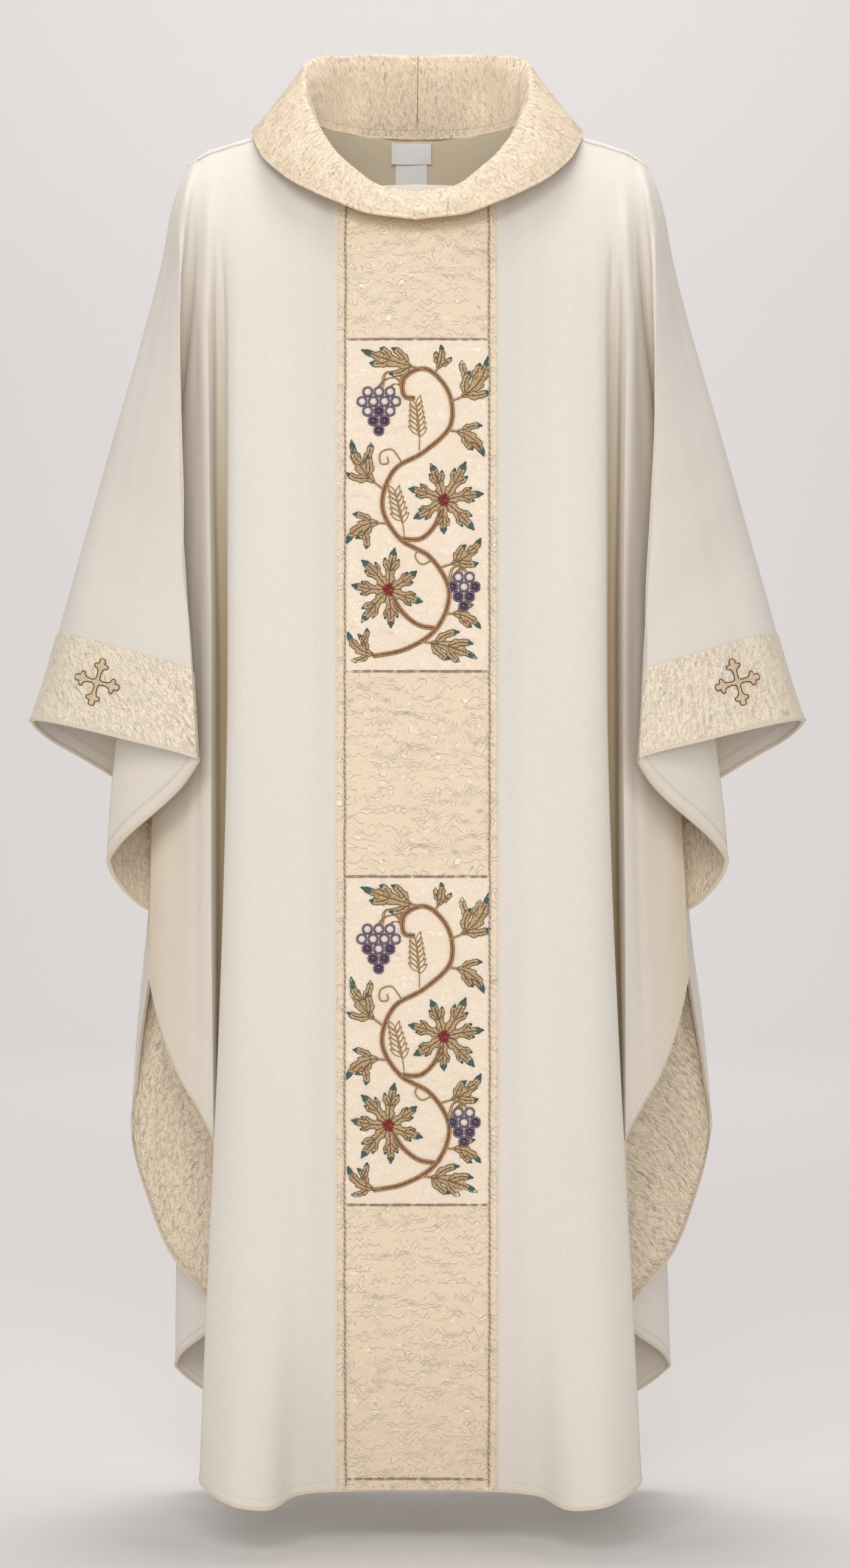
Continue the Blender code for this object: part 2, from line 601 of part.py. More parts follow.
def collar_row(share):
    """Neck seam, roll and lower edge at a share of the way from back to front."""
    knots = np.linspace(0, 1, len(COLLAR))
    table = np.array(COLLAR)
    return np.array([[smooth_value(knots, table[:, k, axis], share) for axis in range(3)]
                     for k in range(3)])


def collar_section(share):
    seam, roll, edge = collar_row(share)
    away = unit(edge - seam)
    start, crest, stop = rounded(seam, roll, edge, COLLAR_SOFT)
    return [seam, (seam + start) / 2 - away * COLLAR_BULGE / 2, start, crest, stop,
            (stop + edge) / 2 + away * COLLAR_BULGE, edge]


def build_collar():
    half = COLLAR_STEPS // 2
    sections = [np.array(collar_section(k / half)) for k in range(half + 1)]
    mirror = np.array((-1, 1, 1))
    ring = sections + [section * mirror for section in sections[-2:0:-1]]
    grid = np.array(ring)
    around = np.roll(grid, -1, axis=0) - np.roll(grid, 1, axis=0)
    along = np.gradient(grid, axis=1)
    normals = unit(np.cross(around, along))
    if normals[0, 3, 2] < 0:
        normals = -normals
    closed_ring("collar", grid, normals, COLLAR_WALL, BROCADE, SILK_FINISH)
    return grid + normals * COLLAR_WALL / 2


def closed_ring(name, grid, normals, thickness, colour, roughness):
    """Closed wall round a loop of sections."""
    steps, count = grid.shape[:2]
    outer = (grid + normals * thickness / 2).reshape(-1, 3)
    inner = (grid - normals * thickness / 2).reshape(-1, 3)
    total = steps * count
    faces = []
    for step in range(steps):
        following = (step + 1) % steps
        for k in range(count - 1):
            a, b = step * count + k, step * count + k + 1
            c, d = following * count + k + 1, following * count + k
            faces += [(a, b, c), (a, c, d)]
            faces += [(a + total, c + total, b + total), (a + total, d + total, c + total)]
        for k, turned in ((0, False), (count - 1, True)):
            a, d = step * count + k, following * count + k
            pair = [(a, d, d + total), (a, d + total, a + total)]
            faces += [face[::-1] for face in pair] if turned else pair
    a, b, c = (Vector(outer[k]) for k in faces[0])
    if (b - a).cross(c - a).dot(Vector(normals[0, 0])) < 0:
        faces = [face[::-1] for face in faces]
    add_solid(name, np.concatenate((outer, inner)), faces, colour, roughness)


def build_neck_facing(neck_side):
    """Plain strip with a straight top edge, inside the front of the collar."""
    tree = surface_tree(np.concatenate((neck_side, neck_side[:1])))
    columns = np.linspace(-FACING_REACH, FACING_REACH, 11)
    grid = np.zeros((3, len(columns), 3))
    for column, x in enumerate(columns):
        low = FACING_LOW + FACING_CURVE * (x / FACING_REACH) ** 2
        hits = [tree.ray_cast(Vector((x, 0, low + rise)), Vector((0, -1, 0)))[0]
                for rise in FACING_RAYS]
        depth = max(hit.y for hit in hits if hit) + GAP + TRIM / 2
        grid[:, column, 0] = x
        grid[:, column, 1] = depth
        grid[:, column, 2] = (FACING_TOP, (FACING_TOP + low) / 2, low)
    wall("front_neck_facing", grid, facing(grid, (0, 1, 0)), -TRIM / 2, TRIM / 2, IVORY, PLAIN_FINISH)


def build_labels(grid, normals):
    """Bare woven labels that hang from the back neck seam, inside."""
    middle = grid.shape[1] // 2
    tree = surface_tree(grid[:5, middle - 3:middle + 4] - normals[:5, middle - 3:middle + 4] * WALL / 2)
    for name, (half, top, bottom, layer) in LABELS.items():
        points = np.zeros((4, 5, 3))
        for row in range(4):
            for column in range(5):
                x = LABEL_MIDDLE + half * (column / 2 - 1)
                z = top + (bottom - top) * row / 3
                hit = tree.ray_cast(Vector((x, -1, z)), Vector((0, 1, 0)))[0]
                points[row, column] = hit
        tilt = facing(points, (0, -1, 0))
        low = LABEL_GAP + (layer - 1) * (TRIM + FACET_GAP)
        wall(name, points, tilt, low, low + TRIM, WHITE, THREAD_FINISH)


def build():
    clear_scene()
    front_half, front_tilts, front_columns = half_grid(FRONT, {})
    front, front_normals = seam_normals(*whole_grid(front_half, front_tilts), -1)
    rises = {name: FACING_RISE for name in TALL_FACING}
    back_half, back_tilts, back_columns = half_grid(BACK, rises)
    back, back_normals = seam_normals(*whole_grid(back_half, back_tilts), 1)
    build_front(front, front_normals)
    build_back(back, back_normals)
    build_orphrey(front, front_normals, front_columns)
    faces = build_cuffs(front, front_normals, front_columns, back, back_normals, back_columns)
    build_crosses(faces)
    build_facings(back, back_normals, back_columns)
    neck_side = build_collar()
    build_neck_facing(neck_side)
    build_labels(back, back_normals)


build()
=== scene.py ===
"""Chasuble of ivory wool with brocade collar, cuffs and orphrey, hanging filled out with nobody in it."""
from collections import namedtuple
import bpy
import numpy as np
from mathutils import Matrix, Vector
from mathutils.bvhtree import BVHTree
from mathutils.kdtree import KDTree


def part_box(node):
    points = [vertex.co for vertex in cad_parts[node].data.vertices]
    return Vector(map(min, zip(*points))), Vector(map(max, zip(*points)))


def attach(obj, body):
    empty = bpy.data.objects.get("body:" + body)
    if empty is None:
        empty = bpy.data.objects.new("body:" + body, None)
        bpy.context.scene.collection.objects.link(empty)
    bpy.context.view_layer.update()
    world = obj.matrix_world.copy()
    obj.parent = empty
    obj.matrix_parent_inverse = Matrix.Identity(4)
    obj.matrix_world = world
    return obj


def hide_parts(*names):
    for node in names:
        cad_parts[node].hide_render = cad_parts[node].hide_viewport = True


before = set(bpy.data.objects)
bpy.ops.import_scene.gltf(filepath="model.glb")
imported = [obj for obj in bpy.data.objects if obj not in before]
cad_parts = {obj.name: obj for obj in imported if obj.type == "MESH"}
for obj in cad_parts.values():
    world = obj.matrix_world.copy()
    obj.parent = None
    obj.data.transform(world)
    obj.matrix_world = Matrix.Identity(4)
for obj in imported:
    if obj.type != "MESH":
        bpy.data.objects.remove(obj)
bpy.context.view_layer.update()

# Front
# One panel of fine ivory wool crepe, cut wide and left to fall in deep folds beside the body.
# It is sewn to the back along the shoulders and under the collar, and its edge is bound.
WALL = 0.0018
ROWS = 18
BAND_ROW = 15
LEVEL_ROW = 3
ROW_START = -0.03
ROW_EASE = 1.25
LEVEL_CLEAR = 0.012
ARC_SHARE = 0.45
CUFF_RISE = 0.084
FACING_RISE = 0.180
SPREAD_FROM, SPREAD_TO = -0.60, -1.29
SPREAD_REACH = (0.08, 0.15)
RIGHT_SPREAD = 0.04
# Heights at which the fold lines are sized
LEVELS = (-0.04, -0.10, -0.30, -0.50, -0.70, -0.90, -1.10, -1.29)
# Fold lines from the middle outward. Each row holds name: columns, softness, (reach, depth, height)
# at the seam, height of the free edge, then the reach and the depth at each of the levels.
FRONT = {
    "middle": (1, 0.02, (0.000, -0.086, -0.064), -1.286,
               (0.000, 0.000, 0.000, 0.000, 0.000, 0.000, 0.000, 0.000),
               (-0.070, -0.106, -0.131, -0.140, -0.147, -0.151, -0.142, -0.099)),
    "quarter": (1, 0.02, (0.038, -0.079, -0.055), -1.286,
                (0.038, 0.038, 0.038, 0.038, 0.038, 0.038, 0.038, 0.038),
                (-0.072, -0.105, -0.130, -0.1395, -0.1467, -0.1507, -0.142, -0.0995)),
    "braid": (1, 0.02, (0.068, -0.056, -0.030), -1.287,
              (0.068, 0.068, 0.068, 0.068, 0.068, 0.068, 0.068, 0.068),
              (-0.063, -0.102, -0.128, -0.1385, -0.146, -0.150, -0.142, -0.1010)),
    "orphrey": (1, 0.02, (0.0757, -0.048, -0.018), -1.287,
                (0.0757, 0.0757, 0.0757, 0.0757, 0.0757, 0.0757, 0.0757, 0.0757),
                (-0.062, -0.101, -0.1275, -0.138, -0.1458, -0.1498, -0.1418, -0.1015)),
    "neck": (1, 0.02, (0.100, 0.000, 0.034), -1.289,
             (0.105, 0.108, 0.108, 0.106, 0.107, 0.108, 0.110, 0.114),
             (-0.058, -0.092, -0.125, -0.137, -0.145, -0.149, -0.145, -0.112)),
    "lobe": (2, 0.020, (0.145, 0.000, 0.026), -1.297,
             (0.150, 0.150, 0.148, 0.147, 0.148, 0.149, 0.150, 0.152),
             (-0.050, -0.079, -0.119, -0.135, -0.145, -0.152, -0.159, -0.168)),
    "side": (3, 0.007, (0.170, 0.000, 0.019), -1.277,
             (0.178, 0.180, 0.179, 0.178, 0.182, 0.190, 0.199, 0.207),
             (-0.044, -0.071, -0.106, -0.118, -0.120, -0.120, -0.120, -0.118)),
    "cleft inner": (1, 0.006, (0.184, 0.000, 0.015), -1.060,
                    (0.188, 0.188, 0.182, 0.179, 0.179, 0.180, 0.182, 0.182),
                    (-0.041, -0.064, -0.050, -0.037, -0.032, -0.038, -0.056, -0.060)),
    "cleft outer": (1, 0.006, (0.190, 0.000, 0.013), -1.010,
                    (0.194, 0.195, 0.194, 0.192, 0.192, 0.195, 0.198, 0.198),
                    (-0.040, -0.063, -0.048, -0.035, -0.030, -0.036, -0.050, -0.054)),
    "ridge": (3, 0.008, (0.196, 0.000, 0.011), -0.955,
              (0.200, 0.202, 0.199, 0.197, 0.197, 0.195, 0.193, 0.193),
              (-0.040, -0.068, -0.080, -0.082, -0.082, -0.078, -0.078, -0.078)),
    "apron": (1, 0.010, (0.200, 0.000, 0.010), -0.888,
              (0.204, 0.207, 0.217, 0.226, 0.230, 0.234, 0.234, 0.234),
              (-0.038, -0.061, -0.060, -0.050, -0.046, -0.045, -0.045, -0.045)),
    "apron fold": (3, 0.009, (0.203, 0.000, 0.009), -0.795,
                   (0.208, 0.211, 0.236, 0.254, 0.262, 0.266, 0.266, 0.266),
                   (-0.036, -0.055, -0.040, -0.018, -0.012, -0.012, -0.012, -0.012)),
    "hollow": (2, 0.008, (0.207, 0.000, 0.007), -0.757,
               (0.212, 0.215, 0.226, 0.234, 0.240, 0.242, 0.242, 0.242),
               (-0.034, -0.046, -0.010, 0.022, 0.034, 0.036, 0.036, 0.036)),
    "inner sleeve": (2, 0.012, (0.210, 0.000, 0.005), -0.722,
                     (0.216, 0.223, 0.247, 0.272, 0.288, 0.290, 0.290, 0.290),
                     (-0.033, -0.045, -0.020, 0.000, 0.010, 0.012, 0.012, 0.012)),
    "sleeve return": (3, 0.008, (0.213, 0.000, 0.003), -0.687,
                      (0.220, 0.228, 0.256, 0.285, 0.303, 0.304, 0.304, 0.304),
                      (-0.035, -0.050, -0.036, -0.032, -0.028, -0.028, -0.028, -0.028)),
    "sleeve fold": (4, 0.009, (0.217, 0.000, 0.000), -0.589,
                    (0.224, 0.2265, 0.2235, 0.211, 0.202, 0.200, 0.200, 0.200),
                    (-0.040, -0.068, -0.096, -0.102, -0.104, -0.104, -0.104, -0.104)),
    "sleeve": (2, 0.030, (0.220, 0.000, -0.002), -0.564,
               (0.231, 0.240, 0.268, 0.292, 0.312, 0.312, 0.312, 0.312),
               (-0.024, -0.042, -0.066, -0.076, -0.080, -0.080, -0.080, -0.080)),
    "sleeve crown": (2, 0.018, (0.2225, 0.000, -0.004), -0.5505,
                     (0.2365, 0.2475, 0.299, 0.350, 0.404, 0.404, 0.404, 0.404),
                     (-0.012, -0.021, -0.033, -0.040, -0.042, -0.042, -0.042, -0.042)),
    "arm": (1, 0.0, (0.225, 0.000, -0.0065), -0.551,
            (0.239, 0.2505, 0.306, 0.3625, 0.419, 0.419, 0.419, 0.419),
            (0.000, 0.000, 0.000, 0.000, 0.000, 0.000, 0.000, 0.000)),
}

# Fold lines of the back, in the same columns
BACK = {
    "middle": (1, 0.02, (0.000, 0.085, 0.036), -1.293,
               (0.000, 0.000, 0.000, 0.000, 0.000, 0.000, 0.000, 0.000),
               (0.105, 0.118, 0.140, 0.145, 0.150, 0.155, 0.162, 0.170)),
    "quarter": (1, 0.02, (0.060, 0.064, 0.036), -1.292,
                (0.058, 0.057, 0.057, 0.057, 0.057, 0.057, 0.058, 0.060),
                (0.099, 0.115, 0.138, 0.144, 0.150, 0.156, 0.164, 0.173)),
    "neck": (2, 0.020, (0.100, 0.000, 0.034), -1.285,
             (0.108, 0.112, 0.116, 0.118, 0.120, 0.122, 0.125, 0.130),
             (0.070, 0.096, 0.126, 0.137, 0.147, 0.157, 0.167, 0.177)),
    "blade": (2, 0.020, (0.150, 0.000, 0.025), -1.262,
              (0.160, 0.165, 0.170, 0.172, 0.175, 0.178, 0.182, 0.185),
              (0.050, 0.074, 0.105, 0.121, 0.135, 0.149, 0.162, 0.171)),
    "back fold": (3, 0.012, (0.185, 0.000, 0.0145), -1.212,
                  (0.197, 0.203, 0.216, 0.229, 0.238, 0.245, 0.250, 0.254),
                  (0.036, 0.056, 0.086, 0.108, 0.125, 0.140, 0.150, 0.152)),
    "back hollow": (3, 0.010, (0.195, 0.000, 0.011), -1.150,
                    (0.205, 0.208, 0.196, 0.184, 0.176, 0.180, 0.197, 0.205),
                    (0.030, 0.046, 0.062, 0.070, 0.074, 0.076, 0.080, 0.082)),
    "wing": (2, 0.014, (0.200, 0.000, 0.0095), -1.069,
             (0.210, 0.214, 0.216, 0.221, 0.228, 0.245, 0.265, 0.265),
             (0.027, 0.041, 0.060, 0.072, 0.080, 0.088, 0.094, 0.094)),
    "wing fold": (3, 0.010, (0.205, 0.000, 0.008), -0.972,
                  (0.215, 0.221, 0.237, 0.254, 0.268, 0.289, 0.297, 0.297),
                  (0.025, 0.039, 0.065, 0.082, 0.092, 0.100, 0.100, 0.100)),
    "under hollow": (2, 0.010, (0.213, 0.000, 0.003), -0.635,
                     (0.222, 0.229, 0.241, 0.251, 0.259, 0.260, 0.260, 0.260),
                     (0.021, 0.031, 0.041, 0.048, 0.052, 0.052, 0.052, 0.052)),
    "under sleeve": (2, 0.030, (0.219, 0.000, -0.001), -0.594,
                     (0.231, 0.240, 0.273, 0.306, 0.330, 0.330, 0.330, 0.330),
                     (0.015, 0.024, 0.038, 0.045, 0.048, 0.048, 0.048, 0.048)),
    "under crown": (2, 0.018, (0.2225, 0.000, -0.004), -0.564,
                    (0.2365, 0.2475, 0.299, 0.352, 0.405, 0.405, 0.405, 0.405),
                    (0.010, 0.016, 0.024, 0.028, 0.030, 0.030, 0.030, 0.030)),
    "arm": FRONT["arm"],
}


def unit(vectors):
    return vectors / np.maximum(np.linalg.norm(vectors, axis=-1, keepdims=True), 1e-12)


def smooth_value(knots, values, at):
    """Smooth curve through values that never swings past them; knots rise."""
    steps = np.diff(knots)
    slopes = np.diff(values) / steps
    bends = np.zeros(len(values))
    bends[0], bends[-1] = slopes[0], slopes[-1]
    for k in range(1, len(values) - 1):
        if slopes[k - 1] * slopes[k] > 0:
            bends[k] = 2 * slopes[k - 1] * slopes[k] / (slopes[k - 1] + slopes[k])
    at = min(max(at, knots[0]), knots[-1])
    k = min(int(np.searchsorted(knots, at, side="right")) - 1, len(steps) - 1)
    t = (at - knots[k]) / steps[k]
    rise = values[k + 1] - values[k]
    cubic = t * (1 - t) * ((1 - t) * (bends[k] * steps[k] - rise) - t * (bends[k + 1] * steps[k] - rise))
    return values[k] + t * rise + cubic


def row_height(top, end, rise, row):
    """Height of a row on a fold line, from the seam to the free edge."""
    if row > BAND_ROW:
        return end + rise * (ROWS - row) / (ROWS - BAND_ROW)
    level = ROW_START + (end + rise - ROW_START) * (row / BAND_ROW) ** ROW_EASE
    return level + (top - ROW_START) * max(1 - row / LEVEL_ROW, 0)


def fold_place(fold, height):
    """Reach and depth of a fold line at a height, also past its free edge."""
    reach, depth, top = fold[2]
    used = [k for k, level in enumerate(LEVELS) if level < top - LEVEL_CLEAR]
    knots = [-top] + [-LEVELS[k] for k in used]
    return np.array([smooth_value(knots, [start] + [sizes[k] for k in used], -height)
                     for start, sizes in ((reach, fold[4]), (depth, fold[5]))])


def fold_arc(folds, names, k, share, height):
    """Point of a level section in the rounded arc of fold k, and the arc's reach both ways."""
    corner = fold_place(folds[names[k]], height)
    if k == len(names) - 1 or folds[names[k]][0] == 1:
        return corner, (0, 0)
    before = fold_place(folds[names[k - 1]], height)
    after = fold_place(folds[names[k + 1]], height)
    back, ahead = np.linalg.norm(before - corner), np.linalg.norm(after - corner)
    near = [min(folds[names[k]][1] / length, ARC_SHARE) for length in (back, ahead)]
    start, stop = corner + (before - corner) * near[0], corner + (after - corner) * near[1]
    return (1 - share) ** 2 * start + 2 * share * (1 - share) * corner + share ** 2 * stop, near


def half_grid(folds, rises):
    """Rows of points from the middle out to the arm, and the fold number of each column."""
    names = list(folds)
    grid, numbers = [], []
    for row in range(ROWS + 1):
        heights = [row_height(folds[name][2][2], folds[name][3], rises.get(name, CUFF_RISE), row)
                   for name in names]
        line, numbers = [], []
        for k, name in enumerate(names):
            for share in np.linspace(0, 1, folds[name][0]) if folds[name][0] > 1 else (0.5,):
                near = fold_arc(folds, names, k, share, heights[k])[1]
                height = heights[k] + max(1 - 2 * share, 0) * near[0] * (heights[k - 1] - heights[k])
                if share > 0.5:
                    height += (2 * share - 1) * near[1] * (heights[k + 1] - heights[k])
                line.append((*fold_arc(folds, names, k, share, height)[0], height))
                numbers.append(k + (share - 0.5) / 2)
        grid.append(line)
    return np.array(grid), np.array(numbers)


def first_columns(folds):
    """First and last coarse column of each fold, counted from the middle."""
    columns, place = {}, 0
    for name, fold in folds.items():
        columns[name] = (place, place + fold[0] - 1)
        place += fold[0]
    return columns


def set_side(grid, side):
    """Half grid placed left (-1) or right (+1) of the middle."""
    placed = grid.copy()
    drop = np.clip((SPREAD_FROM - grid[:, :, 2]) / (SPREAD_FROM - SPREAD_TO), 0, 1)
    outer = np.clip((grid[:, :, 0] - SPREAD_REACH[0]) / (SPREAD_REACH[1] - SPREAD_REACH[0]), 0, 1)
    wider = 1 + RIGHT_SPREAD * drop * outer if side > 0 else 1
    placed[:, :, 0] = side * grid[:, :, 0] * wider
    return placed


CLOTH_STEP = (0.0056, 0.0088)
EDGE_CALM = 0.045
Cloth = namedtuple("Cloth", "points normals across down column row folds")


def eased(points, cuts):
    """Smooth curves through points along the first axis, with cuts[k] steps in span k."""
    spans = np.diff(points, axis=0)
    lengths = np.maximum(np.linalg.norm(spans, axis=-1, keepdims=True), 1e-9)
    slopes = spans / lengths
    bends = np.concatenate((slopes[:1], slopes))
    bends[1:-1] = (slopes[:-1] * lengths[1:] + slopes[1:] * lengths[:-1]) / (lengths[:-1] + lengths[1:])
    lines = []
    for k, cut in enumerate(cuts):
        for t in np.arange(cut) / cut:
            pull = (1 - t) * (bends[k] * lengths[k] - spans[k]) - t * (bends[k + 1] * lengths[k] - spans[k])
            lines.append(points[k] + t * spans[k] + t * (1 - t) * pull)
    return np.array(lines + [points[-1]])


def grid_normals(points):
    return unit(np.cross(np.gradient(points, axis=1), np.gradient(points, axis=0)))


def run_lengths(points, axis):
    """Distance run along an axis of a grid."""
    steps = np.linalg.norm(np.diff(points, axis=axis), axis=2)
    first = np.zeros_like(np.take(steps, [0], axis=axis))
    return np.concatenate((first, np.cumsum(steps, axis=axis)), axis=axis)


def fine_cloth(folds, rises, outward):
    """Panel in small steps through the fold lines, with its lengths across and down."""
    half, half_folds = half_grid(folds, rises)
    coarse = np.concatenate((set_side(half, -1)[:, :0:-1], set_side(half, 1)), axis=1)
    wide = np.percentile(np.linalg.norm(np.diff(coarse, axis=1), axis=2), 80, axis=0)
    tall = np.linalg.norm(np.diff(coarse, axis=0), axis=2).mean(axis=1)
    wide_cuts = np.maximum(np.round(wide / CLOTH_STEP[0]), 1).astype(int)
    tall_cuts = np.maximum(np.round(tall / CLOTH_STEP[1]), 1).astype(int)
    points = eased(coarse, tall_cuts)
    points = eased(points.transpose(1, 0, 2), wide_cuts).transpose(1, 0, 2)
    column = np.concatenate(([0], np.cumsum(wide_cuts)))
    row = np.concatenate(([0], np.cumsum(tall_cuts)))
    numbers = np.concatenate((-half_folds[:0:-1], half_folds))
    numbers = np.interp(np.arange(points.shape[1]), column, numbers)
    normals = grid_normals(points)
    middle = points.shape[1] // 2
    if normals[row[8], middle, 1] * outward < 0:
        normals = -normals
    across = run_lengths(points, 1)
    across -= across[:, column[len(column) // 2]][:, None]
    return Cloth(points, normals, across, run_lengths(points, 0), column, row, numbers)


def draped(cloth, creases, sways):
    """Cloth with its creases pressed in or raised, and a slight sway between them."""
    shift = np.zeros(cloth.across.shape)
    heights = cloth.points[:, :, 2]
    for start, stop, top, bottom, width, depth in creases:
        for r in range(len(shift)):
            level = np.interp(start, cloth.folds, heights[r])
            share = (top - level) / (top - bottom)
            if not 0 < share < 1:
                continue
            middle = np.interp(start + (stop - start) * share, cloth.folds, cloth.across[r])
            swell = np.sin(np.pi * share ** 0.8) ** 0.9 * (0.75 + 0.35 * share)
            shift[r] -= depth * swell * np.exp(-((cloth.across[r] - middle) / width) ** 2)
    for wave_across, wave_down, phase, height in sways:
        shift += height * np.sin(cloth.across / wave_across + phase) * np.sin(heights / wave_down + 2.3 * phase)
    from_arm = np.minimum(cloth.across - cloth.across[:, :1], cloth.across[:, -1:] - cloth.across)
    calm = np.clip(from_arm / EDGE_CALM, 0, 1) * np.clip(cloth.down / EDGE_CALM, 0, 1)
    from_orphrey = np.clip((np.abs(cloth.across) - 0.070) / 0.03, 0.12, 1)
    shift *= calm * calm * (3 - 2 * calm) * from_orphrey
    points = cloth.points + cloth.normals * shift[:, :, None]
    normals = grid_normals(points)
    normals *= np.sign(np.sum(normals * cloth.normals, axis=2, keepdims=True))
    return cloth._replace(points=points, normals=normals)


def new_piece(name, corners, faces, places, finishes, spots=None, sharp=50, painted_shade=None):
    """Mesh of corners and quads. Places are each corner's own place on the flat cloth, in metres.
    Painted shade, from 0 to 1, says how far into a fold each corner lies; the materials darken and warm its colour by
    it."""
    mesh = bpy.data.meshes.new(name)
    mesh.from_pydata(np.asarray(corners).tolist(), [], np.asarray(faces).tolist())
    flat = mesh.uv_layers.new(name="flat")
    loops = np.zeros(len(mesh.loops), dtype=np.int32)
    mesh.loops.foreach_get("vertex_index", loops)
    placed = np.asarray(places)
    uses = placed[loops] if len(placed) == len(corners) else placed
    flat.data.foreach_set("uv", np.ascontiguousarray(uses, dtype=np.float32).ravel())
    if painted_shade is not None:
        deep = mesh.attributes.new("painted_shade", "FLOAT", "POINT")
        deep.data.foreach_set("value", np.ascontiguousarray(painted_shade, dtype=np.float32))
    for finish in finishes:
        mesh.materials.append(finish)
    if spots is not None:
        mesh.polygons.foreach_set("material_index", np.asarray(spots, dtype=np.int32))
    mesh.polygons.foreach_set("use_smooth", np.ones(len(mesh.polygons), dtype=bool))
    mesh.set_sharp_from_angle(angle=np.radians(sharp))
    mesh.update()
    piece = bpy.data.objects.new(name, mesh)
    bpy.context.scene.collection.objects.link(piece)
    return piece


def shell(name, points, normals, low, high, places, finishes, closed=False, painted_shade=None, painted_shade_face=0):
    """Thin closed sheet between two offsets of a grid. A closed one joins its last row to its first.
    Painted shade tints both faces, or only the high (1) or low (-1) one."""
    rows, columns = points.shape[:2]
    used = rows - 1 if closed else rows
    count = used * columns
    corners = np.concatenate(((points + normals * high)[:used].reshape(-1, 3),
                              (points + normals * low)[:used].reshape(-1, 3)))
    index = np.arange(rows * columns).reshape(rows, columns)
    own = index.copy()
    if closed:
        own[-1] = own[0]

    def quads(table):
        return np.stack((table[:-1, :-1], table[:-1, 1:], table[1:, 1:], table[1:, :-1]), axis=2).reshape(-1, 4)

    def rim(table, offset):
        sides = [(table[:-1, 0], table[1:, 0]), (table[1:, -1], table[:-1, -1])]
        if not closed:
            sides += [(table[0, 1:], table[0, :-1]), (table[-1, :-1], table[-1, 1:])]
        return np.concatenate([np.stack((here, here + offset, there + offset, there), axis=1)
                               for here, there in sides])

    r, c = rows // 2, columns // 2
    turned = np.dot(np.cross(points[r, c] - points[r, c - 1], points[r, c] - points[r - 1, c]), normals[r, c]) < 0
    faces = np.concatenate((quads(own)[:, ::-1], quads(own) + count, rim(own, count)[:, ::-1]))
    spans = np.concatenate((quads(index)[:, ::-1], quads(index), rim(index, 0)[:, ::-1]))
    if not turned:
        faces, spans = faces[:, ::-1], spans[:, ::-1]
    uses = places.reshape(-1, 2)[spans.ravel()]
    if painted_shade is not None:
        painted_shade = np.concatenate((painted_shade.ravel() * (painted_shade_face >= 0), painted_shade.ravel() * (painted_shade_face <= 0)))
    return new_piece(name, corners, faces, uses, finishes, painted_shade=painted_shade)


def painted_shade_in_folds(cloth, shaded_folds):
    """Painted shade: how far into a fold each point lies, where its colour is darkened as shade. Shaded folds: fold
    number, half width in folds, height where it begins, height where it is full, strength."""
    deep = np.zeros(cloth.across.shape)
    for fold, width, start, full, strength in shaded_folds:
        near = np.exp(-((np.abs(cloth.folds) - fold) / width) ** 2)
        fall = np.clip((start - cloth.points[:, :, 2]) / (start - full), 0, 1)
        deep = np.maximum(deep, strength * near[None, :] * fall)
    return deep


def flat_places(cloth):
    return np.stack((cloth.across, -cloth.down), axis=2)


def kept(piece, slot, *nodes):
    """The piece moves with the garment and stands for its solids."""
    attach(piece, "root")
    if nodes:
        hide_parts(*nodes)
    return piece


def wire(tree, kind, inputs=None, **settings):
    """New node with its settings, values and links."""
    made = tree.nodes.new(kind)
    for key, value in settings.items():
        setattr(made, key, value)
    for key, value in (inputs or {}).items():
        if isinstance(value, bpy.types.NodeSocket):
            tree.links.new(value, made.inputs[key])
        else:
            made.inputs[key].default_value = value
    return made


def maths(tree, operation, first, second=None, clamp=False):
    inputs = {0: first} if second is None else {0: first, 1: second}
    return wire(tree, "ShaderNodeMath", inputs, operation=operation, use_clamp=clamp).outputs[0]


def spread(tree, value, low, high, out_low=0.0, out_high=1.0):
    """Value eased from a range to another."""
    inputs = {"Value": value, "From Min": low, "From Max": high, "To Min": out_low, "To Max": out_high}
    return wire(tree, "ShaderNodeMapRange", inputs, interpolation_type="SMOOTHSTEP").outputs["Result"]


def scaled(tree, vector, by):
    return wire(tree, "ShaderNodeVectorMath", {0: vector, 1: by}, operation="MULTIPLY").outputs["Vector"]


def noise(tree, vector, detail=2.0, rough=0.5):
    return wire(tree, "ShaderNodeTexNoise", {"Vector": vector, "Scale": 1.0, "Detail": detail,
                                             "Roughness": rough}).outputs["Fac"]


def new_group(name, inputs, outputs):
    tree = bpy.data.node_groups.new(name, "ShaderNodeTree")
    for label, kind in inputs:
        tree.interface.new_socket(name=label, in_out="INPUT", socket_type="NodeSocket" + kind)
    for label, kind in outputs:
        tree.interface.new_socket(name=label, in_out="OUTPUT", socket_type="NodeSocket" + kind)
    return tree, tree.nodes.new("NodeGroupInput"), tree.nodes.new("NodeGroupOutput")


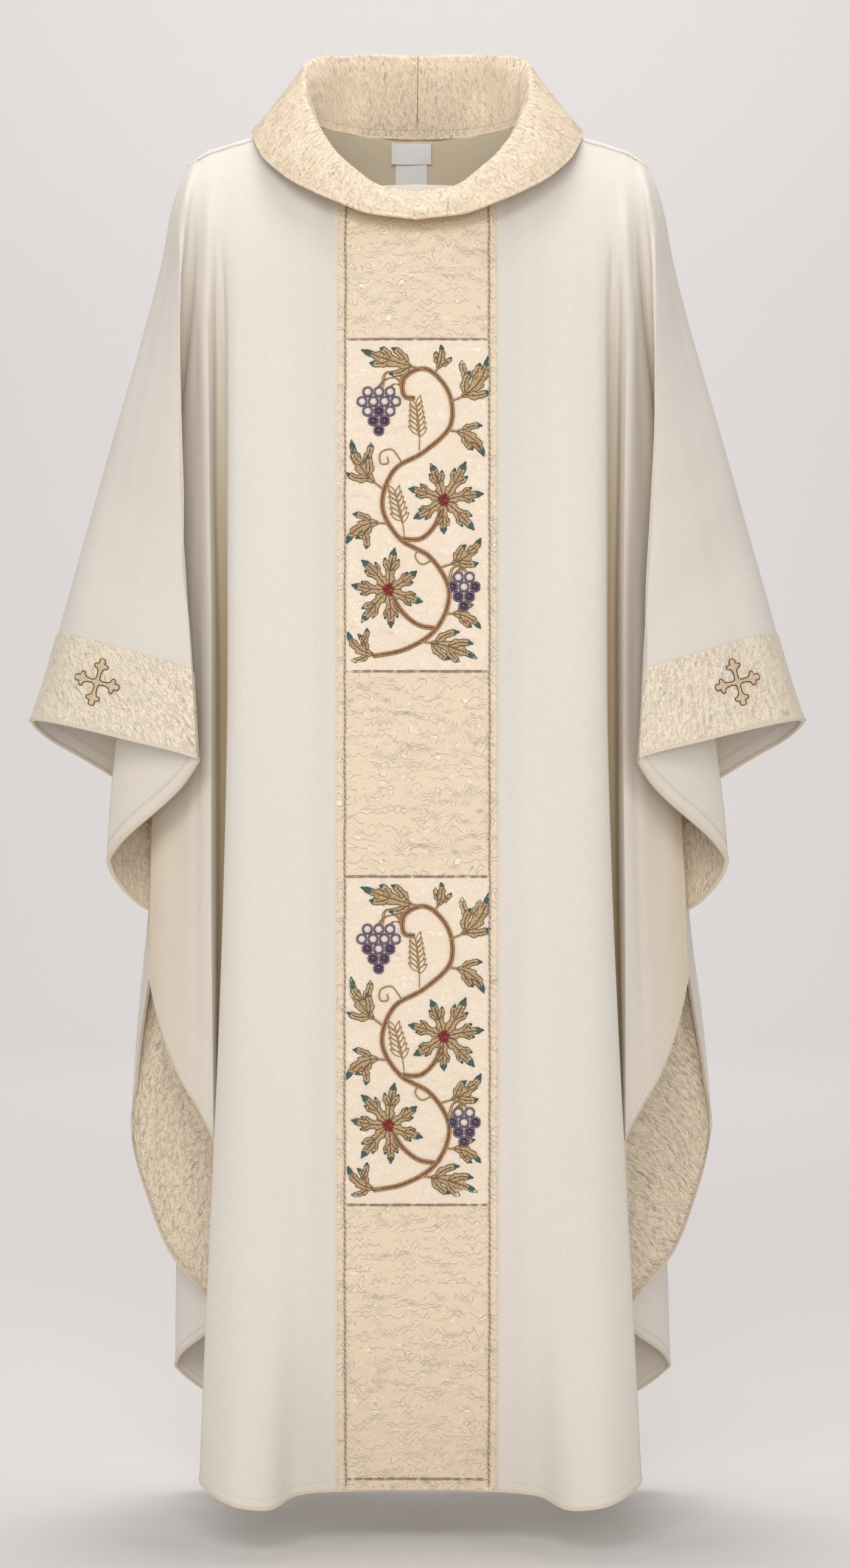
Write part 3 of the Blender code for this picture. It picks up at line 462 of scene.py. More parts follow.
def plain_weave_group():
    """Over and under threads with slubs, from the flat place in metres."""
    tree, given, result = new_group("plain weave", [("Place", "Vector"), ("Threads", "Float")],
                                    [("Height", "Float"), ("Slub", "Float"), ("Cloud", "Float")])
    threads = wire(tree, "ShaderNodeVectorMath", {0: given.outputs["Place"], "Scale": given.outputs["Threads"]},
                   operation="SCALE").outputs["Vector"]
    apart = wire(tree, "ShaderNodeSeparateXYZ", {0: threads})
    over = maths(tree, "SINE", maths(tree, "MULTIPLY", apart.outputs[0], np.pi))
    under = maths(tree, "SINE", maths(tree, "MULTIPLY", apart.outputs[1], np.pi))
    lattice = maths(tree, "ABSOLUTE", maths(tree, "MULTIPLY", over, under))
    warp = noise(tree, scaled(tree, given.outputs["Place"], (900, 60, 1)), 3.0)
    weft = noise(tree, scaled(tree, given.outputs["Place"], (50, 1100, 1)), 3.0)
    slub = maths(tree, "MULTIPLY", maths(tree, "ADD", warp, weft), 0.5)
    height = maths(tree, "ADD", maths(tree, "MULTIPLY", lattice, 0.45), maths(tree, "MULTIPLY", slub, 0.9))
    tree.links.new(height, result.inputs["Height"])
    tree.links.new(spread(tree, slub, 0.36, 0.64), result.inputs["Slub"])
    tree.links.new(noise(tree, scaled(tree, given.outputs["Place"], (9, 6, 1)), 3.0), result.inputs["Cloud"])
    return tree


plain_weave = plain_weave_group()


def new_finish(name, roughness, sheen=0.0, sheen_roughness=0.5):
    """Material with its flat place and a shader whose plain values are set here."""
    made = bpy.data.materials.new(name)
    made.use_nodes = True
    tree = made.node_tree
    shader = tree.nodes["Principled BSDF"]
    shader.inputs["Roughness"].default_value = roughness
    shader.inputs["Sheen Weight"].default_value = sheen
    shader.inputs["Sheen Roughness"].default_value = sheen_roughness
    place = wire(tree, "ShaderNodeUVMap", uv_map="flat").outputs["UV"]
    return made, tree, shader, place


def blend_colours(tree, share, first, second):
    mix = wire(tree, "ShaderNodeMix", {"Factor": share}, data_type="RGBA")
    for socket, value in ((mix.inputs[6], first), (mix.inputs[7], second)):
        if isinstance(value, bpy.types.NodeSocket):
            tree.links.new(value, socket)
        else:
            socket.default_value = (*value, 1.0)
    return mix.outputs[2]


def raise_surface(tree, shader, height, distance, strength=1.0):
    bump = wire(tree, "ShaderNodeBump", {"Height": height, "Distance": distance, "Strength": strength})
    tree.links.new(bump.outputs["Normal"], shader.inputs["Normal"])


def wool(name, light, shade, threads=1250.0):
    made, tree, shader, place = new_finish(name, 0.82, 0.12, 0.45)
    weave = wire(tree, "ShaderNodeGroup", node_tree=plain_weave)
    tree.links.new(place, weave.inputs["Place"])
    weave.inputs["Threads"].default_value = threads
    tone = maths(tree, "ADD", maths(tree, "MULTIPLY", weave.outputs["Slub"], 0.45),
                 maths(tree, "MULTIPLY", weave.outputs["Cloud"], 0.55))
    colour = blend_colours(tree, tone, shade, light)
    # Painted shade: deep in folds, where shade falls, the wool's colour is mixed towards a darker, warmer one.
    deep = wire(tree, "ShaderNodeAttribute", attribute_name="painted_shade").outputs["Fac"]
    colour = blend_colours(tree, deep, colour, PAINTED_FOLD_SHADE)
    tree.links.new(colour, shader.inputs["Base Color"])
    tree.links.new(spread(tree, weave.outputs["Slub"], 0.0, 1.0, 0.88, 0.76), shader.inputs["Roughness"])
    raise_surface(tree, shader, weave.outputs["Height"], 0.00022, 0.8)
    return made


# Painted shade colours: deep in folds, where shade falls, the brocade's ground is multiplied by the first colour and
# the wool turns towards the last one.
PAINTED_SHADE_GOLD = (0.80, 0.70, 0.50)
IVORY_LIGHT, IVORY_SHADE, PAINTED_FOLD_SHADE = (0.825, 0.775, 0.72), (0.765, 0.71, 0.645), (0.76, 0.63, 0.42)
ivory = wool("ivory_wool", IVORY_LIGHT, IVORY_SHADE)

# Creases: fold number at the top and at the bottom, height of both ends, half width, depth.
# Folds are numbered outward from the middle of the panel, less than zero on the left.
def fitted_neck(cloth, depths, reaches):
    """Cloth eased outward at the sides of the neck to meet the collar's seam. Reaches are given at
    depths of the neck edge, front to back."""
    top = cloth.points[0]
    near = np.abs(top[:, 0]) < 0.125
    reach = np.where(near, np.interp(top[:, 1], depths, reaches), 0) * np.sign(top[:, 0])
    points = cloth.points.copy()
    points[:, :, 0] += reach[None, :] * np.exp(-(cloth.down / 0.035) ** 2)
    normals = grid_normals(points)
    normals *= np.sign(np.sum(normals * cloth.normals, axis=2, keepdims=True))
    return cloth._replace(points=points, normals=normals)


FRONT_CREASES = [
    (-4.4, -4.6, -0.03, -0.86, 0.017, 0.0030), (-5.6, -5.2, -0.05, -1.24, 0.022, -0.0022),
    (-5.1, -4.7, -0.42, -1.32, 0.020, 0.0026), (-6.3, -6.0, -0.10, -0.70, 0.012, 0.0016),
    (4.5, 4.7, -0.04, -0.78, 0.016, 0.0027), (5.5, 5.3, -0.07, -1.20, 0.024, -0.0024),
    (5.0, 4.8, -0.50, -1.33, 0.018, 0.0022), (6.2, 6.1, -0.08, -0.64, 0.011, 0.0014),
    (-16.6, -16.4, -0.02, -0.50, 0.015, 0.0022), (-17.5, -17.2, -0.06, -0.60, 0.022, -0.0020),
    (-15.8, -16.2, -0.12, -0.56, 0.012, 0.0014), (-18.4, -17.9, -0.10, -0.48, 0.017, 0.0015),
    (16.5, 16.6, -0.03, -0.47, 0.016, 0.0020), (17.4, 17.1, -0.08, -0.62, 0.020, -0.0022),
    (18.3, 18.0, -0.06, -0.44, 0.015, 0.0013), (15.9, 16.3, -0.16, -0.58, 0.011, 0.0016),
    (-9.6, -9.5, -0.28, -1.02, 0.010, 0.0016), (9.4, 9.6, -0.33, -0.98, 0.011, 0.0018),
    (-11.3, -11.5, -0.24, -0.88, 0.010, -0.0014), (11.5, 11.3, -0.30, -0.84, 0.009, -0.0012),
    (-3.3, -3.4, -0.16, -0.74, 0.019, -0.0012), (3.4, 3.2, -0.24, -0.90, 0.021, -0.0014),
]
FRONT_SWAYS = [(0.052, 0.21, 0.4, 0.0008), (0.031, 0.13, 2.1, 0.0004), (0.083, 0.34, 4.0, 0.0011)]
front_cloth = draped(fine_cloth(FRONT, {}, -1), FRONT_CREASES, FRONT_SWAYS)
front_cloth = fitted_neck(front_cloth, (-0.056, -0.0414, -0.0246, -0.0085, 0.0), (0.0, 0.002, 0.0085, 0.0098, 0.001))
# Painted shade on both faces of the front: in the clefts beside the body and in the hollows between sleeve and body,
# growing downward from the shoulders.
FRONT_PAINTED_SHADE = [(7.6, 0.9, -0.12, -0.50, 1.0), (11.8, 1.9, -0.08, -0.40, 0.8)]
front = shell("front_cloth", front_cloth.points, front_cloth.normals, -WALL / 2, WALL / 2,
              flat_places(front_cloth), [ivory], painted_shade=painted_shade_in_folds(front_cloth, FRONT_PAINTED_SHADE))
kept(front, "front", "front")

# Back
# One panel of the same wool, hung from the same seams, with its long folds swinging out behind.
# Its outer edges turn forward and cascade, and their inner face is backed with brocade.
TALL_FACING = ("back hollow", "wing", "wing fold")
BACK_CREASES = [
    (-0.7, -0.6, 0.01, -1.20, 0.022, 0.0036), (-1.6, -1.7, -0.02, -1.30, 0.026, -0.0030),
    (-2.6, -2.4, -0.04, -1.24, 0.024, 0.0034), (-3.4, -3.5, -0.02, -0.86, 0.018, -0.0022),
    (0.5, 0.7, -0.02, -1.28, 0.024, -0.0026), (1.4, 1.5, 0.00, -1.12, 0.020, 0.0034),
    (2.5, 2.4, -0.03, -1.29, 0.027, -0.0030), (3.3, 3.5, -0.06, -0.98, 0.019, 0.0028),
    (-4.4, -4.5, -0.12, -1.10, 0.015, 0.0022), (4.5, 4.4, -0.10, -1.16, 0.016, -0.0020),
    (-8.5, -8.6, -0.05, -0.52, 0.017, 0.0024), (8.4, 8.7, -0.03, -0.56, 0.019, 0.0026),
    (-9.4, -9.2, -0.02, -0.60, 0.021, -0.0022), (9.5, 9.2, -0.06, -0.50, 0.018, -0.0024),
    (-10.2, -9.8, -0.08, -0.46, 0.013, 0.0016), (10.3, 9.9, -0.10, -0.54, 0.015, 0.0014),
    (-6.4, -6.3, -0.30, -1.02, 0.012, 0.0018), (6.3, 6.5, -0.26, -1.04, 0.012, -0.0016),
]
BACK_SWAYS = [(0.060, 0.24, 1.1, 0.0012), (0.034, 0.15, 3.2, 0.0006), (0.091, 0.37, 5.0, 0.0016)]
back_cloth = draped(fine_cloth(BACK, {name: FACING_RISE for name in TALL_FACING}, 1),
                    BACK_CREASES, BACK_SWAYS)
back_cloth = fitted_neck(back_cloth, (0.0096, 0.0145, 0.0211, 0.0316, 0.0434, 0.0548, 0.0640),
                         (0.0, 0.004, 0.0075, 0.0085, 0.0058, 0.002, 0.0))
# Painted shade on the back's inner face only: across the middle inside the neck, and growing downward in two folds at
# each side.
BACK_PAINTED_SHADE = [(0.0, 4.0, -0.16, -0.03, 0.75), (5.0, 1.2, -0.35, -0.80, 0.7), (8.0, 1.0, -0.15, -0.45, 0.6)]
back = shell("back_cloth", back_cloth.points, back_cloth.normals, -WALL / 2, WALL / 2,
             flat_places(back_cloth), [ivory], painted_shade=painted_shade_in_folds(back_cloth, BACK_PAINTED_SHADE), painted_shade_face=-1)
kept(back, "back", "back")

# Facings of the back's side edges
# A shaped piece of brocade is laid on the inner face of each side edge, where the fold turns it out.
# It stops just short of the bound edge and follows the wool it is sewn to.
TRIM = 0.0010
FACING_STOP = 0.0050
LAID = 0.0002


def brocade_group():
    """Nested peaks of a jacquard silk on a pebbled ground, from the flat place in metres."""
    tree, given, result = new_group("brocade figure", [("Place", "Vector"), ("Pitch", "Float"), ("Wander", "Float")],
                                    [("RidgeAndSheen", "Float"), ("FurrowAndShade", "Float"), ("Height", "Float"),
                                     ("Grain", "Float")])
    place = given.outputs["Place"]
    apart = wire(tree, "ShaderNodeSeparateXYZ", {0: place})
    broad = maths(tree, "SUBTRACT", noise(tree, scaled(tree, place, (15, 26, 1)), 2.0), 0.5)
    close = maths(tree, "SUBTRACT", noise(tree, scaled(tree, place, (150, 150, 1)), 2.0), 0.5)
    peaks = maths(tree, "PINGPONG", maths(tree, "ADD", maths(tree, "MULTIPLY", apart.outputs[0], 30.0),
                                          maths(tree, "MULTIPLY", broad, 5.0)), 0.5)
    steps = maths(tree, "PINGPONG", maths(tree, "ADD", maths(tree, "MULTIPLY", apart.outputs[0], 84.0),
                                          maths(tree, "MULTIPLY", broad, -9.0)), 0.5)
    tall = spread(tree, noise(tree, scaled(tree, place, (9, 34, 1)), 1.0), 0.35, 0.65, 0.006, 0.026)
    bend = maths(tree, "ADD", maths(tree, "MULTIPLY", peaks, tall), maths(tree, "MULTIPLY", steps, 0.0065))
    bend = maths(tree, "ADD", bend, maths(tree, "MULTIPLY", close, 0.0022))
    level = maths(tree, "ADD", apart.outputs[1],
                  maths(tree, "ADD", bend, maths(tree, "MULTIPLY", broad, given.outputs["Wander"])))
    turns = maths(tree, "DIVIDE", level, given.outputs["Pitch"])
    line = maths(tree, "PINGPONG", turns, 0.5)
    strong = spread(tree, noise(tree, scaled(tree, place, (48, 120, 1)), 2.0), 0.36, 0.60)
    fine = maths(tree, "PINGPONG", maths(tree, "MULTIPLY", turns, 3.0), 0.5)
    patch = spread(tree, noise(tree, scaled(tree, place, (70, 95, 1)), 1.0), 0.50, 0.62)
    # Furrows: sunk dark lines of the figure, partly woven pattern and partly painted shade.
    furrow_and_shade = maths(tree, "MULTIPLY", spread(tree, line, 0.40, 0.48), spread(tree, strong, 0.0, 1.0, 0.15, 1.0))
    hatch = maths(tree, "MULTIPLY", spread(tree, fine, 0.30, 0.42), patch)
    ridge = maths(tree, "MAXIMUM", maths(tree, "MULTIPLY", spread(tree, line, 0.20, 0.34), strong), hatch)
    ridge = maths(tree, "MULTIPLY", ridge, maths(tree, "SUBTRACT", 1.0, furrow_and_shade))
    pebbles = wire(tree, "ShaderNodeTexVoronoi", {"Vector": scaled(tree, place, (760, 760, 1)), "Scale": 1.0},
                   feature="F1").outputs["Distance"]
    grain = spread(tree, pebbles, 0.05, 0.75, 1.0, 0.0)
    height = maths(tree, "SUBTRACT", maths(tree, "ADD", ridge, maths(tree, "MULTIPLY", grain, 0.35)), furrow_and_shade)
    for name, value in (("RidgeAndSheen", ridge), ("FurrowAndShade", furrow_and_shade), ("Height", height), ("Grain", grain)):
        tree.links.new(value, result.inputs[name])
    return tree


brocade_figure = brocade_group()


def brocade(name, ground, ridge, pitch=0.0072, wander=0.05, turn=0.0, gloss=0.46, relief=0.0007, depth=1.0, size=1.0):
    """Silk brocade. Turn swings the figure round on the cloth."""
    made, tree, shader, place = new_finish(name, gloss, 0.10, 0.35)
    shader.inputs["Specular IOR Level"].default_value = 0.55
    swung = wire(tree, "ShaderNodeVectorRotate", {"Vector": place, "Angle": np.radians(turn)},
                 rotation_type="Z_AXIS").outputs["Vector"]
    figure = wire(tree, "ShaderNodeGroup", node_tree=brocade_figure)
    tree.links.new(scaled(tree, swung, (1 / size, 1 / size, 1)), figure.inputs["Place"])
    figure.inputs["Pitch"].default_value = pitch
    figure.inputs["Wander"].default_value = wander
    # The figure's raised lines take the lighter colour, partly woven pattern and partly painted sheen; its sunk furrows
    # take the darker colour, partly woven pattern and partly painted shade.
    colour = blend_colours(tree, figure.outputs["RidgeAndSheen"], ground, ridge)
    dark = tuple(value * share for value, share in zip(ground, (0.74, 0.61, 0.40)))
    colour = blend_colours(tree, maths(tree, "MULTIPLY", figure.outputs["FurrowAndShade"], depth), colour, dark)
    # Painted shade: deep in folds, where a piece's painted shade value is set, the colour turns a darker gold.
    deep = wire(tree, "ShaderNodeAttribute", attribute_name="painted_shade").outputs["Fac"]
    colour = blend_colours(tree, deep, colour, tuple(value * share for value, share in zip(ground, PAINTED_SHADE_GOLD)))
    dull = tuple(value * 0.86 for value in ground)
    shaded = blend_colours(tree, maths(tree, "MULTIPLY", figure.outputs["Grain"], 0.45), colour, dull)
    tree.links.new(shaded, shader.inputs["Base Color"])
    tree.links.new(spread(tree, figure.outputs["RidgeAndSheen"], 0.0, 1.0, gloss + 0.16, gloss - 0.12),
                   shader.inputs["Roughness"])
    raise_surface(tree, shader, figure.outputs["Height"], relief)
    return made


def span_of(cloth, folds, first, last, side):
    """Fine columns from one fold to another on a side, in rising order."""
    columns = first_columns(folds)
    middle = len(cloth.column) // 2
    ends = sorted((cloth.column[middle + side * columns[first][0]], cloth.column[middle + side * columns[last][1]]))
    return slice(ends[0], ends[1] + 1)


def laid_part(cloth, rows, columns, face):
    """Part of a cloth as a grid on its outer (1) or inner (-1) face."""
    return cloth.points[rows, columns].copy(), cloth.normals[rows, columns] * face, \
        flat_places(cloth)[rows, columns]


side_brocade = brocade("side_brocade", (0.94, 0.77, 0.56), (1.0, 0.94, 0.82), 0.0064, 0.035, 62.0, 0.30, 0.0003, 0.16, 0.45)
for word, side in (("left", -1), ("right", 1)):
    span = span_of(back_cloth, BACK, "back hollow", "under hollow", side)
    points, tilts, places = laid_part(back_cloth, slice(back_cloth.row[BAND_ROW], None), span, -1)
    points[-1] += unit(points[-2] - points[-1]) * FACING_STOP
    # Painted shade: the facing turns a darker gold up inside the cascade, where shade falls, fading out towards its
    # lower end.
    deep = np.clip((points[:, :, 2] + 0.86) / 0.10, 0, 1)
    piece = shell("back_facing_%s_brocade" % word, points, tilts, WALL / 2 + LAID, WALL / 2 + LAID + TRIM,
                  places, [side_brocade], painted_shade=deep)
    kept(piece, "back_facing", "back_facing_" + word)

# Orphrey
# A band of cream brocade down the front in six joined pieces, between two narrow borders.
# The pieces lie on the wool; braid covers every join.
ORPHREY_JOINS = (-0.192, -0.507, -0.700, -1.008, -1.274)
PANEL_EDGE, BORDER_EDGE = 0.0680, 0.0757
SEAM_HALF = 0.00015
BED_STEP = 0.0032
PUCKER = (0.0105, 0.012, 0.00045)
NAP_LIFT = 0.0003


def face_tree(points, normals, lift):
    """Search tree of one face of a grid, lifted along its normals."""
    rows, columns = points.shape[:2]
    index = np.arange(rows * columns).reshape(rows, columns)
    quads = np.stack((index[:-1, :-1], index[:-1, 1:], index[1:, 1:], index[1:, :-1]), axis=2).reshape(-1, 4)
    return BVHTree.FromPolygons((points + normals * lift).reshape(-1, 3).tolist(), quads.tolist())


def front_bed():
    """Depth of the wool's outer face on an even net over the orphrey, with the net's own lines."""
    inner = np.abs(front_cloth.across[0]) < 0.12
    tree = face_tree(front_cloth.points[:, inner], front_cloth.normals[:, inner], WALL / 2)
    reaches = np.linspace(-BORDER_EDGE - 0.004, BORDER_EDGE + 0.004, 50)
    levels = np.linspace(-1.292, -0.012, 400)
    depths = np.full((len(levels), len(reaches)), np.nan)
    for r, level in enumerate(levels):
        for c, reach in enumerate(reaches):
            hit = tree.ray_cast(Vector((reach, -1, level)), Vector((0, 1, 0)))[0]
            if hit:
                depths[r, c] = hit.y
    return reaches, levels, depths


bed_reaches, bed_levels, bed_depths = front_bed()
for c in range(len(bed_reaches)):
    known = ~np.isnan(bed_depths[:, c])
    bed_depths[:, c] = np.interp(bed_levels, bed_levels[known], bed_depths[known, c])


def on_bed(across, level, lift):
    """Points on the front's outer face by reach and height, lifted off it."""
    across, level, lift = np.broadcast_arrays(across, level, lift)
    u = np.interp(across, bed_reaches, np.arange(len(bed_reaches)))
    v = np.interp(level, bed_levels, np.arange(len(bed_levels)))
    c = np.minimum(u.astype(int), len(bed_reaches) - 2)
    r = np.minimum(v.astype(int), len(bed_levels) - 2)
    p, q = u - c, v - r
    low = bed_depths[r, c] * (1 - p) + bed_depths[r, c + 1] * p
    high = bed_depths[r + 1, c] * (1 - p) + bed_depths[r + 1, c + 1] * p
    depth = low * (1 - q) + high * q
    slope_up = (high - low) / (bed_levels[1] - bed_levels[0])
    near = bed_depths[r, c] * (1 - q) + bed_depths[r + 1, c] * q
    far = bed_depths[r, c + 1] * (1 - q) + bed_depths[r + 1, c + 1] * q
    slope_across = (far - near) / (bed_reaches[1] - bed_reaches[0])
    tilt = unit(np.stack((slope_across, -np.ones_like(depth), slope_up), axis=-1))
    return np.stack((across, depth, level), axis=-1) + tilt * lift[..., None]


def neck_line(across):
    """Height of the front's neck seam at a reach."""
    top = front_cloth.points[0]
    return np.interp(across, top[:, 0], top[:, 2])


def band_piece(name, left, right, top, bottom, finish, slot, node, puckered):
    """Slab of brocade on the bed. With no top it starts under the collar seam."""
    columns = max(int(np.ceil((right - left) / BED_STEP)), 2)
    across = np.linspace(left + SEAM_HALF, right - SEAM_HALF, columns + 1)
    start = neck_line(across) - 0.004 if top is None else np.full(len(across), top - SEAM_HALF)
    rows = int(np.ceil((start.max() - bottom) / BED_STEP))
    share = np.linspace(0, 1, rows + 1)[:, None]
    level = start + (bottom + SEAM_HALF - start) * share
    lift = np.zeros_like(level)
    if puckered:
        pitch, reach, height = PUCKER
        side = np.minimum(across - left, right - across)
        lift += height * np.exp(-side / reach) * np.sin(2 * np.pi * level / pitch + 3 * across / reach)
        if top is not None:
            close = np.minimum(top - level, level - bottom)
            lift += height * np.exp(-close / reach) * np.sin(2 * np.pi * across / pitch + level / reach)
        fall = np.sin(level / 0.043 + 9 * np.sin(across * 31)) * np.sin(across / 0.017 + 2)
        lift += 0.0003 * fall
        lift = np.clip(lift, -NAP_LIFT, None)
    points = on_bed(across, level, 0 * lift)
    tilts = unit(on_bed(across, level, 0 * lift + 0.001) - points)
    body = (LAID + TRIM + NAP_LIFT + lift)[:, :, None]
    places = np.stack(np.broadcast_arrays(across, level), axis=2)
    piece = shell(name, points, tilts * body / (LAID + TRIM), 0.0, LAID + TRIM, places, [finish])
    return kept(piece, slot, node)


panel_brocade = brocade("panel_brocade", (0.85, 0.695, 0.515), (0.96, 0.84, 0.68), 0.0064, 0.020, 0.0, 0.46, 0.0003, 0.50)
vine_ground = brocade("vine_ground", (0.88, 0.735, 0.58), (0.97, 0.87, 0.75), 0.0064, 0.020, 0.0, 0.50, 0.00010, 0.06)
orphrey_names = ("orphrey_top", "orphrey_vine_upper", "orphrey_middle", "orphrey_vine_lower",
                 "orphrey_bottom", "orphrey_hem")
hem_line = front_cloth.points[-1, front_cloth.column[len(front_cloth.column) // 2], 2] + 0.001
orphrey_spans = (None,) + ORPHREY_JOINS + (hem_line,)
for name, top, bottom in zip(orphrey_names, orphrey_spans, orphrey_spans[1:]):
    finish = vine_ground if "vine" in name else panel_brocade
    band_piece(name + "_brocade", -PANEL_EDGE, PANEL_EDGE, top, bottom, finish, name, name, True)
for word, side in (("left", -1), ("right", 1)):
    ends = sorted((side * PANEL_EDGE, side * BORDER_EDGE))
    band_piece("orphrey_border_%s_brocade" % word, *ends, None, hem_line, panel_brocade, "orphrey_border",
               "orphrey_border_" + word, False)

# Braids of the orphrey
# A twisted cord runs down each side of the middle pieces, and a flat ladder braid crosses each join.
# Both are couched through the brocade into the wool.
GROUND = LAID + TRIM + NAP_LIFT
CORD_RADIUS, CORD_TURN = 0.00070, 0.0056
LADDER_HALF, LADDER_RADIUS = 0.0008, 0.00036


def thread(name, dark, light, pitch=0.0016, gloss=0.5, cells=(900.0, 900.0), slant=0.7):
    """Twisted thread: slanting strands along the cord and a mottle of two tones."""
    made, tree, shader, place = new_finish(name, gloss, 0.15, 0.4)
    apart = wire(tree, "ShaderNodeSeparateXYZ", {0: place})
    run = maths(tree, "ADD", maths(tree, "DIVIDE", apart.outputs[0], pitch),
                maths(tree, "DIVIDE", apart.outputs[1], pitch * slant))
    strand = maths(tree, "PINGPONG", run, 0.5)
    strand = spread(tree, strand, 0.02, 0.38)
    stitch = wire(tree, "ShaderNodeTexVoronoi", {"Vector": scaled(tree, place, (*cells, 1)), "Scale": 1.0},
                  feature="F1")
    tone = maths(tree, "MULTIPLY", spread(tree, stitch.outputs["Distance"], 0.10, 0.62, 1.0, 0.0), 0.75)
    mottle = maths(tree, "ADD", tone, maths(tree, "MULTIPLY", strand, 0.25), clamp=True)
    tree.links.new(blend_colours(tree, mottle, dark, light), shader.inputs["Base Color"])
    raise_surface(tree, shader, maths(tree, "ADD", strand, tone), 0.00025)
    return made


def tube_grid(path, ups, radii, sides, squash=1.0):
    """Rings of a cord along a path, standing up along the given directions."""
    along = unit(np.gradient(path, axis=0))
    side = unit(np.cross(along, ups))
    up = np.cross(side, along)
    angles = np.arange(sides) * 2 * np.pi / sides
    radii = np.broadcast_to(radii, len(path))[:, None, None]
    ring = side[:, None] * np.cos(angles)[None, :, None] + up[:, None] * (squash * np.sin(angles))[None, :, None]
    return path[:, None] + ring * radii


class Needlework:
    """Gathers cords, stitches and padded shapes into one mesh with several threads."""

    def __init__(self):
        self.corners, self.faces, self.places, self.spots, self.count = [], [], [], [], 0

    def grid(self, grid, places, spot, ring=False):
        rows, columns = grid.shape[:2]
        index = self.count + np.arange(rows * columns).reshape(rows, columns)
        right = np.roll(index, -1, axis=1) if ring else index[:, 1:]
        left = index if ring else index[:, :-1]
        faces = [np.stack((left[:-1], left[1:], right[1:], right[:-1]), axis=2).reshape(-1, 4)]
        if ring:
            for end, turn in ((index[0], 1), (index[-1], -1)):
                fan = [[end[0], end[k], end[k + 1], end[k + 2]][::turn] for k in range(1, columns - 2, 2)]
                faces.append(np.array(fan))
        faces = np.concatenate(faces)
        self.corners.append(grid.reshape(-1, 3))
        self.places.append(places.reshape(-1, 2))
        self.faces.append(faces)
        self.spots.append(np.full(len(faces), spot))
        self.count += rows * columns

    def cord(self, path, radius, spot, ups=(0, 0, 1), sides=6, taper=0.35, squash=1.0):
        path = np.asarray(path, dtype=float)
        run = np.concatenate(([0], np.cumsum(np.linalg.norm(np.diff(path, axis=0), axis=1))))
        radii = np.full(len(path), radius) * np.ones(len(path))
        radii[0] *= taper
        radii[-1] *= taper
        grid = tube_grid(path, np.broadcast_to(ups, path.shape), radii, sides, squash)
        girth = np.arange(sides) * radius * 2 * np.pi / sides
        self.grid(grid, np.stack(np.broadcast_arrays(run[:, None], girth[None, :]), axis=2), spot, ring=True)

    def stitches(self, path, tilts, pitch, length, radius, spot):
        """Row of stitches on a surface, each a short cord that dips in at both ends."""
        run = np.concatenate(([0], np.cumsum(np.linalg.norm(np.diff(path, axis=0), axis=1))))
        starts = np.arange(pitch / 2, run[-1] - length, pitch)
        stations = (starts[:, None] + length * np.array((0.0, 0.25, 0.75, 1.0))).ravel()
        points = np.stack([np.interp(stations, run, path[:, k]) for k in range(3)], axis=1)
        ups = unit(np.stack([np.interp(stations, run, tilts[:, k]) for k in range(3)], axis=1))
        points, ups = points.reshape(-1, 4, 3), ups.reshape(-1, 4, 3)
        along = unit(points[:, -1] - points[:, 0])[:, None]
        side = unit(np.cross(along, ups))
        lift = np.array((-0.6, 0.35, 0.35, -0.6))[None, :, None] * radius
        size = np.array((0.3, 1.0, 1.0, 0.3))[None, :, None] * radius
        rings = []
        for angle in (np.pi / 4, 3 * np.pi / 4, 5 * np.pi / 4, 7 * np.pi / 4):
            rings.append(points + ups * lift + (side * np.cos(angle) + ups * np.sin(angle)) * size)
        rings = np.stack(rings, axis=2)
        count = len(rings)
        base = self.count + 16 * np.arange(count)[:, None, None]
        table = np.arange(16).reshape(4, 4)
        turned = np.roll(table, -1, axis=1)
        quads = np.stack((table[:-1], turned[:-1], turned[1:], table[1:]), axis=2).reshape(-1, 4)
        quads = np.concatenate((quads, [[3, 2, 1, 0], [12, 13, 14, 15]]))
        faces = (base + quads[None]).reshape(-1, 4)
        places = np.stack((np.repeat(stations, 4), np.tile(np.arange(4) * radius, 4 * count)), axis=1)
        self.corners.append(rings.reshape(-1, 3))
        self.places.append(places)
        self.faces.append(faces)
        self.spots.append(np.full(len(faces), spot))
        self.count += 16 * count

    def piece(self, name, finishes, onto=None):
        corners = np.concatenate(self.corners)
        if onto:
            corners = onto(corners[:, 0], corners[:, 1], corners[:, 2])
        return new_piece(name, corners, np.concatenate(self.faces), np.concatenate(self.places), finishes,
                         np.concatenate(self.spots), sharp=75)


mauve_thread = thread("mauve_thread", (0.30, 0.20, 0.165), (0.56, 0.43, 0.37), 0.0013)
pale_thread = thread("pale_thread", (0.62, 0.50, 0.38), (0.80, 0.70, 0.57), 0.0013)
for word, side in (("left", -1), ("right", 1)):
    work = Needlework()
    levels = np.arange(float(neck_line(np.array([side * PANEL_EDGE]))[0]) - 0.006, hem_line + 0.004, -0.0019)
    wobble = 0.0002 * np.sin(levels / 0.013) + 0.00018 * np.sin(levels / 0.0047 + 1)
    for strand in (0, 1):
        turn = levels * 2 * np.pi / CORD_TURN + np.pi * strand + 0.5 * np.sin(levels / 0.03)
        swing = CORD_RADIUS * (0.72 + 0.1 * np.sin(levels / 0.009))
        path = np.stack((side * PANEL_EDGE + wobble + swing * np.cos(turn), levels,
                         GROUND + 0.0005 + swing * np.sin(turn)), axis=1)
        work.cord(path, CORD_RADIUS, strand, sides=6)
    kept(work.piece("orphrey_cord_" + word, [mauve_thread, pale_thread], on_bed), "braid",
         "orphrey_braid_" + word)
